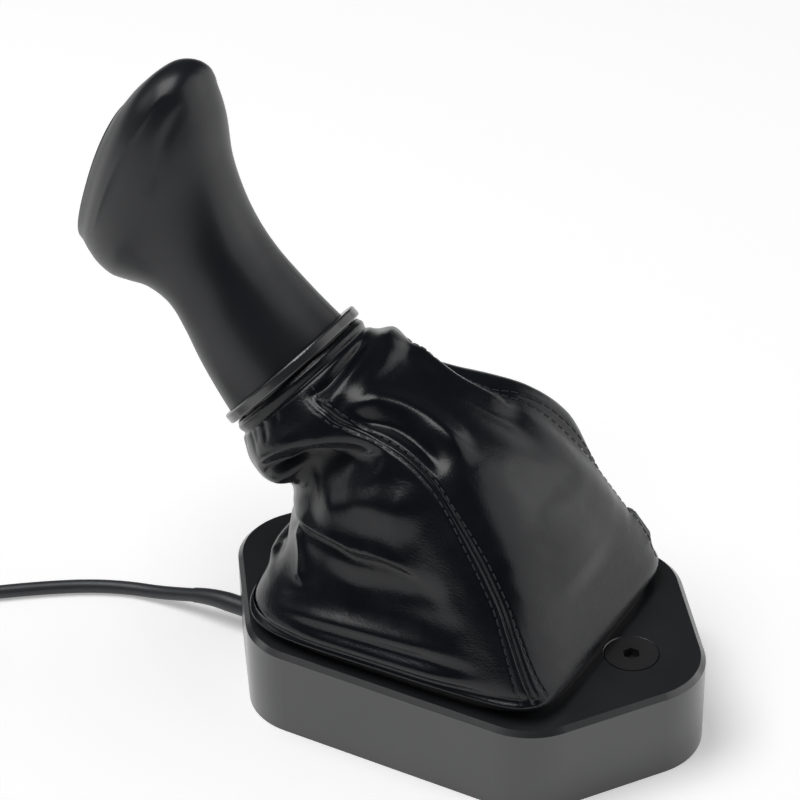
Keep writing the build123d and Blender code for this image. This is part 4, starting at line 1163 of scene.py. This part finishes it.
def make_floor():
    """A plain pale floor that keeps the object's shadow."""
    data = bpy.data.meshes.new("floor")
    corners = [(x * FLOOR_HALF, y * FLOOR_HALF, 0) for x, y in ((-1, -1), (1, -1), (1, 1), (-1, 1))]
    data.from_pydata(corners, [], [(0, 1, 2, 3)])
    data.materials.append(floor_finish())
    floor = bpy.data.objects.new("floor", data)
    bpy.context.scene.collection.objects.link(floor)


# The world's strength for the camera is the sum of these two, and for other rays the first alone
WORLD_STRENGTH = 0.05
WORLD_SEEN_MORE = 0.95


def make_world():
    """White behind the object, and nearly dark in reflections."""
    world = bpy.data.worlds.new("world")
    world.use_nodes = True
    tree = world.node_tree
    background = tree.nodes["Background"]
    background.inputs["Color"].default_value = WHITE
    rays = tree.nodes.new("ShaderNodeLightPath")
    strength = tree.nodes.new("ShaderNodeMath")
    strength.operation = "MULTIPLY_ADD"
    strength.inputs[1].default_value = WORLD_SEEN_MORE
    strength.inputs[2].default_value = WORLD_STRENGTH
    tree.links.new(rays.outputs["Is Camera Ray"], strength.inputs[0])
    tree.links.new(strength.outputs[0], background.inputs["Strength"])
    bpy.context.scene.world = world


# Each light's place and size in metres and its power in watts
LIGHTS = {
    "top_light": ((-0.70, -0.45, 2.05), 1.5, 32.0),
    "rear_light": ((1.68, 0.91, 0.95), 2.0, 13.5),
    "back_light": ((0.90, 1.95, 0.30), 1.7, 7.0),
    "left_light": ((-1.9, -0.70, 1.15), 0.7, 2.2),
}
LIGHT_TARGET = (0, 0, 0.08)


def make_lights():
    """Large soft square lights that face the object."""
    for name, (place, size, power) in LIGHTS.items():
        data = bpy.data.lights.new(name, "AREA")
        data.shape = "SQUARE"
        data.size = size
        data.energy = power
        lamp = bpy.data.objects.new(name, data)
        lamp.location = place
        heading = Vector(LIGHT_TARGET) - Vector(place)
        lamp.rotation_euler = heading.to_track_quat("-Z", "Y").to_euler()
        bpy.context.scene.collection.objects.link(lamp)


def add_boot(finishes):
    boot, skin = make_boot(finishes["boot_leather"])
    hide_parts("boot_rear_panel", "boot_left_panel", "boot_right_panel")
    stitches = make_stitches(skin, thread())
    for piece in (boot, stitches):
        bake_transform(piece)


def add_grip(finishes):
    grip = make_grip(finishes["grip_plastic"])
    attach(grip, "lever")
    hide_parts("grip")


def add_spring(finishes):
    spring = make_spring(finishes["spring_steel"])
    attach(spring, "base")
    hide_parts("return_spring")
    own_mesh(spring)


def add_cord(finishes):
    cord = make_cord(finishes["cable_jacket"])
    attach(cord, "base")
    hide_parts("usb_cable", "usb_coil", "plug_tail")


def put_together():
    finishes = node_finishes()
    paint_nodes(finishes)
    add_boot(finishes)
    add_grip(finishes)
    add_spring(finishes)
    add_cord(finishes)


make_camera()
make_world()
make_floor()
make_lights()
put_together()
scene = bpy.context.scene
scene.view_settings.view_transform = "Standard"
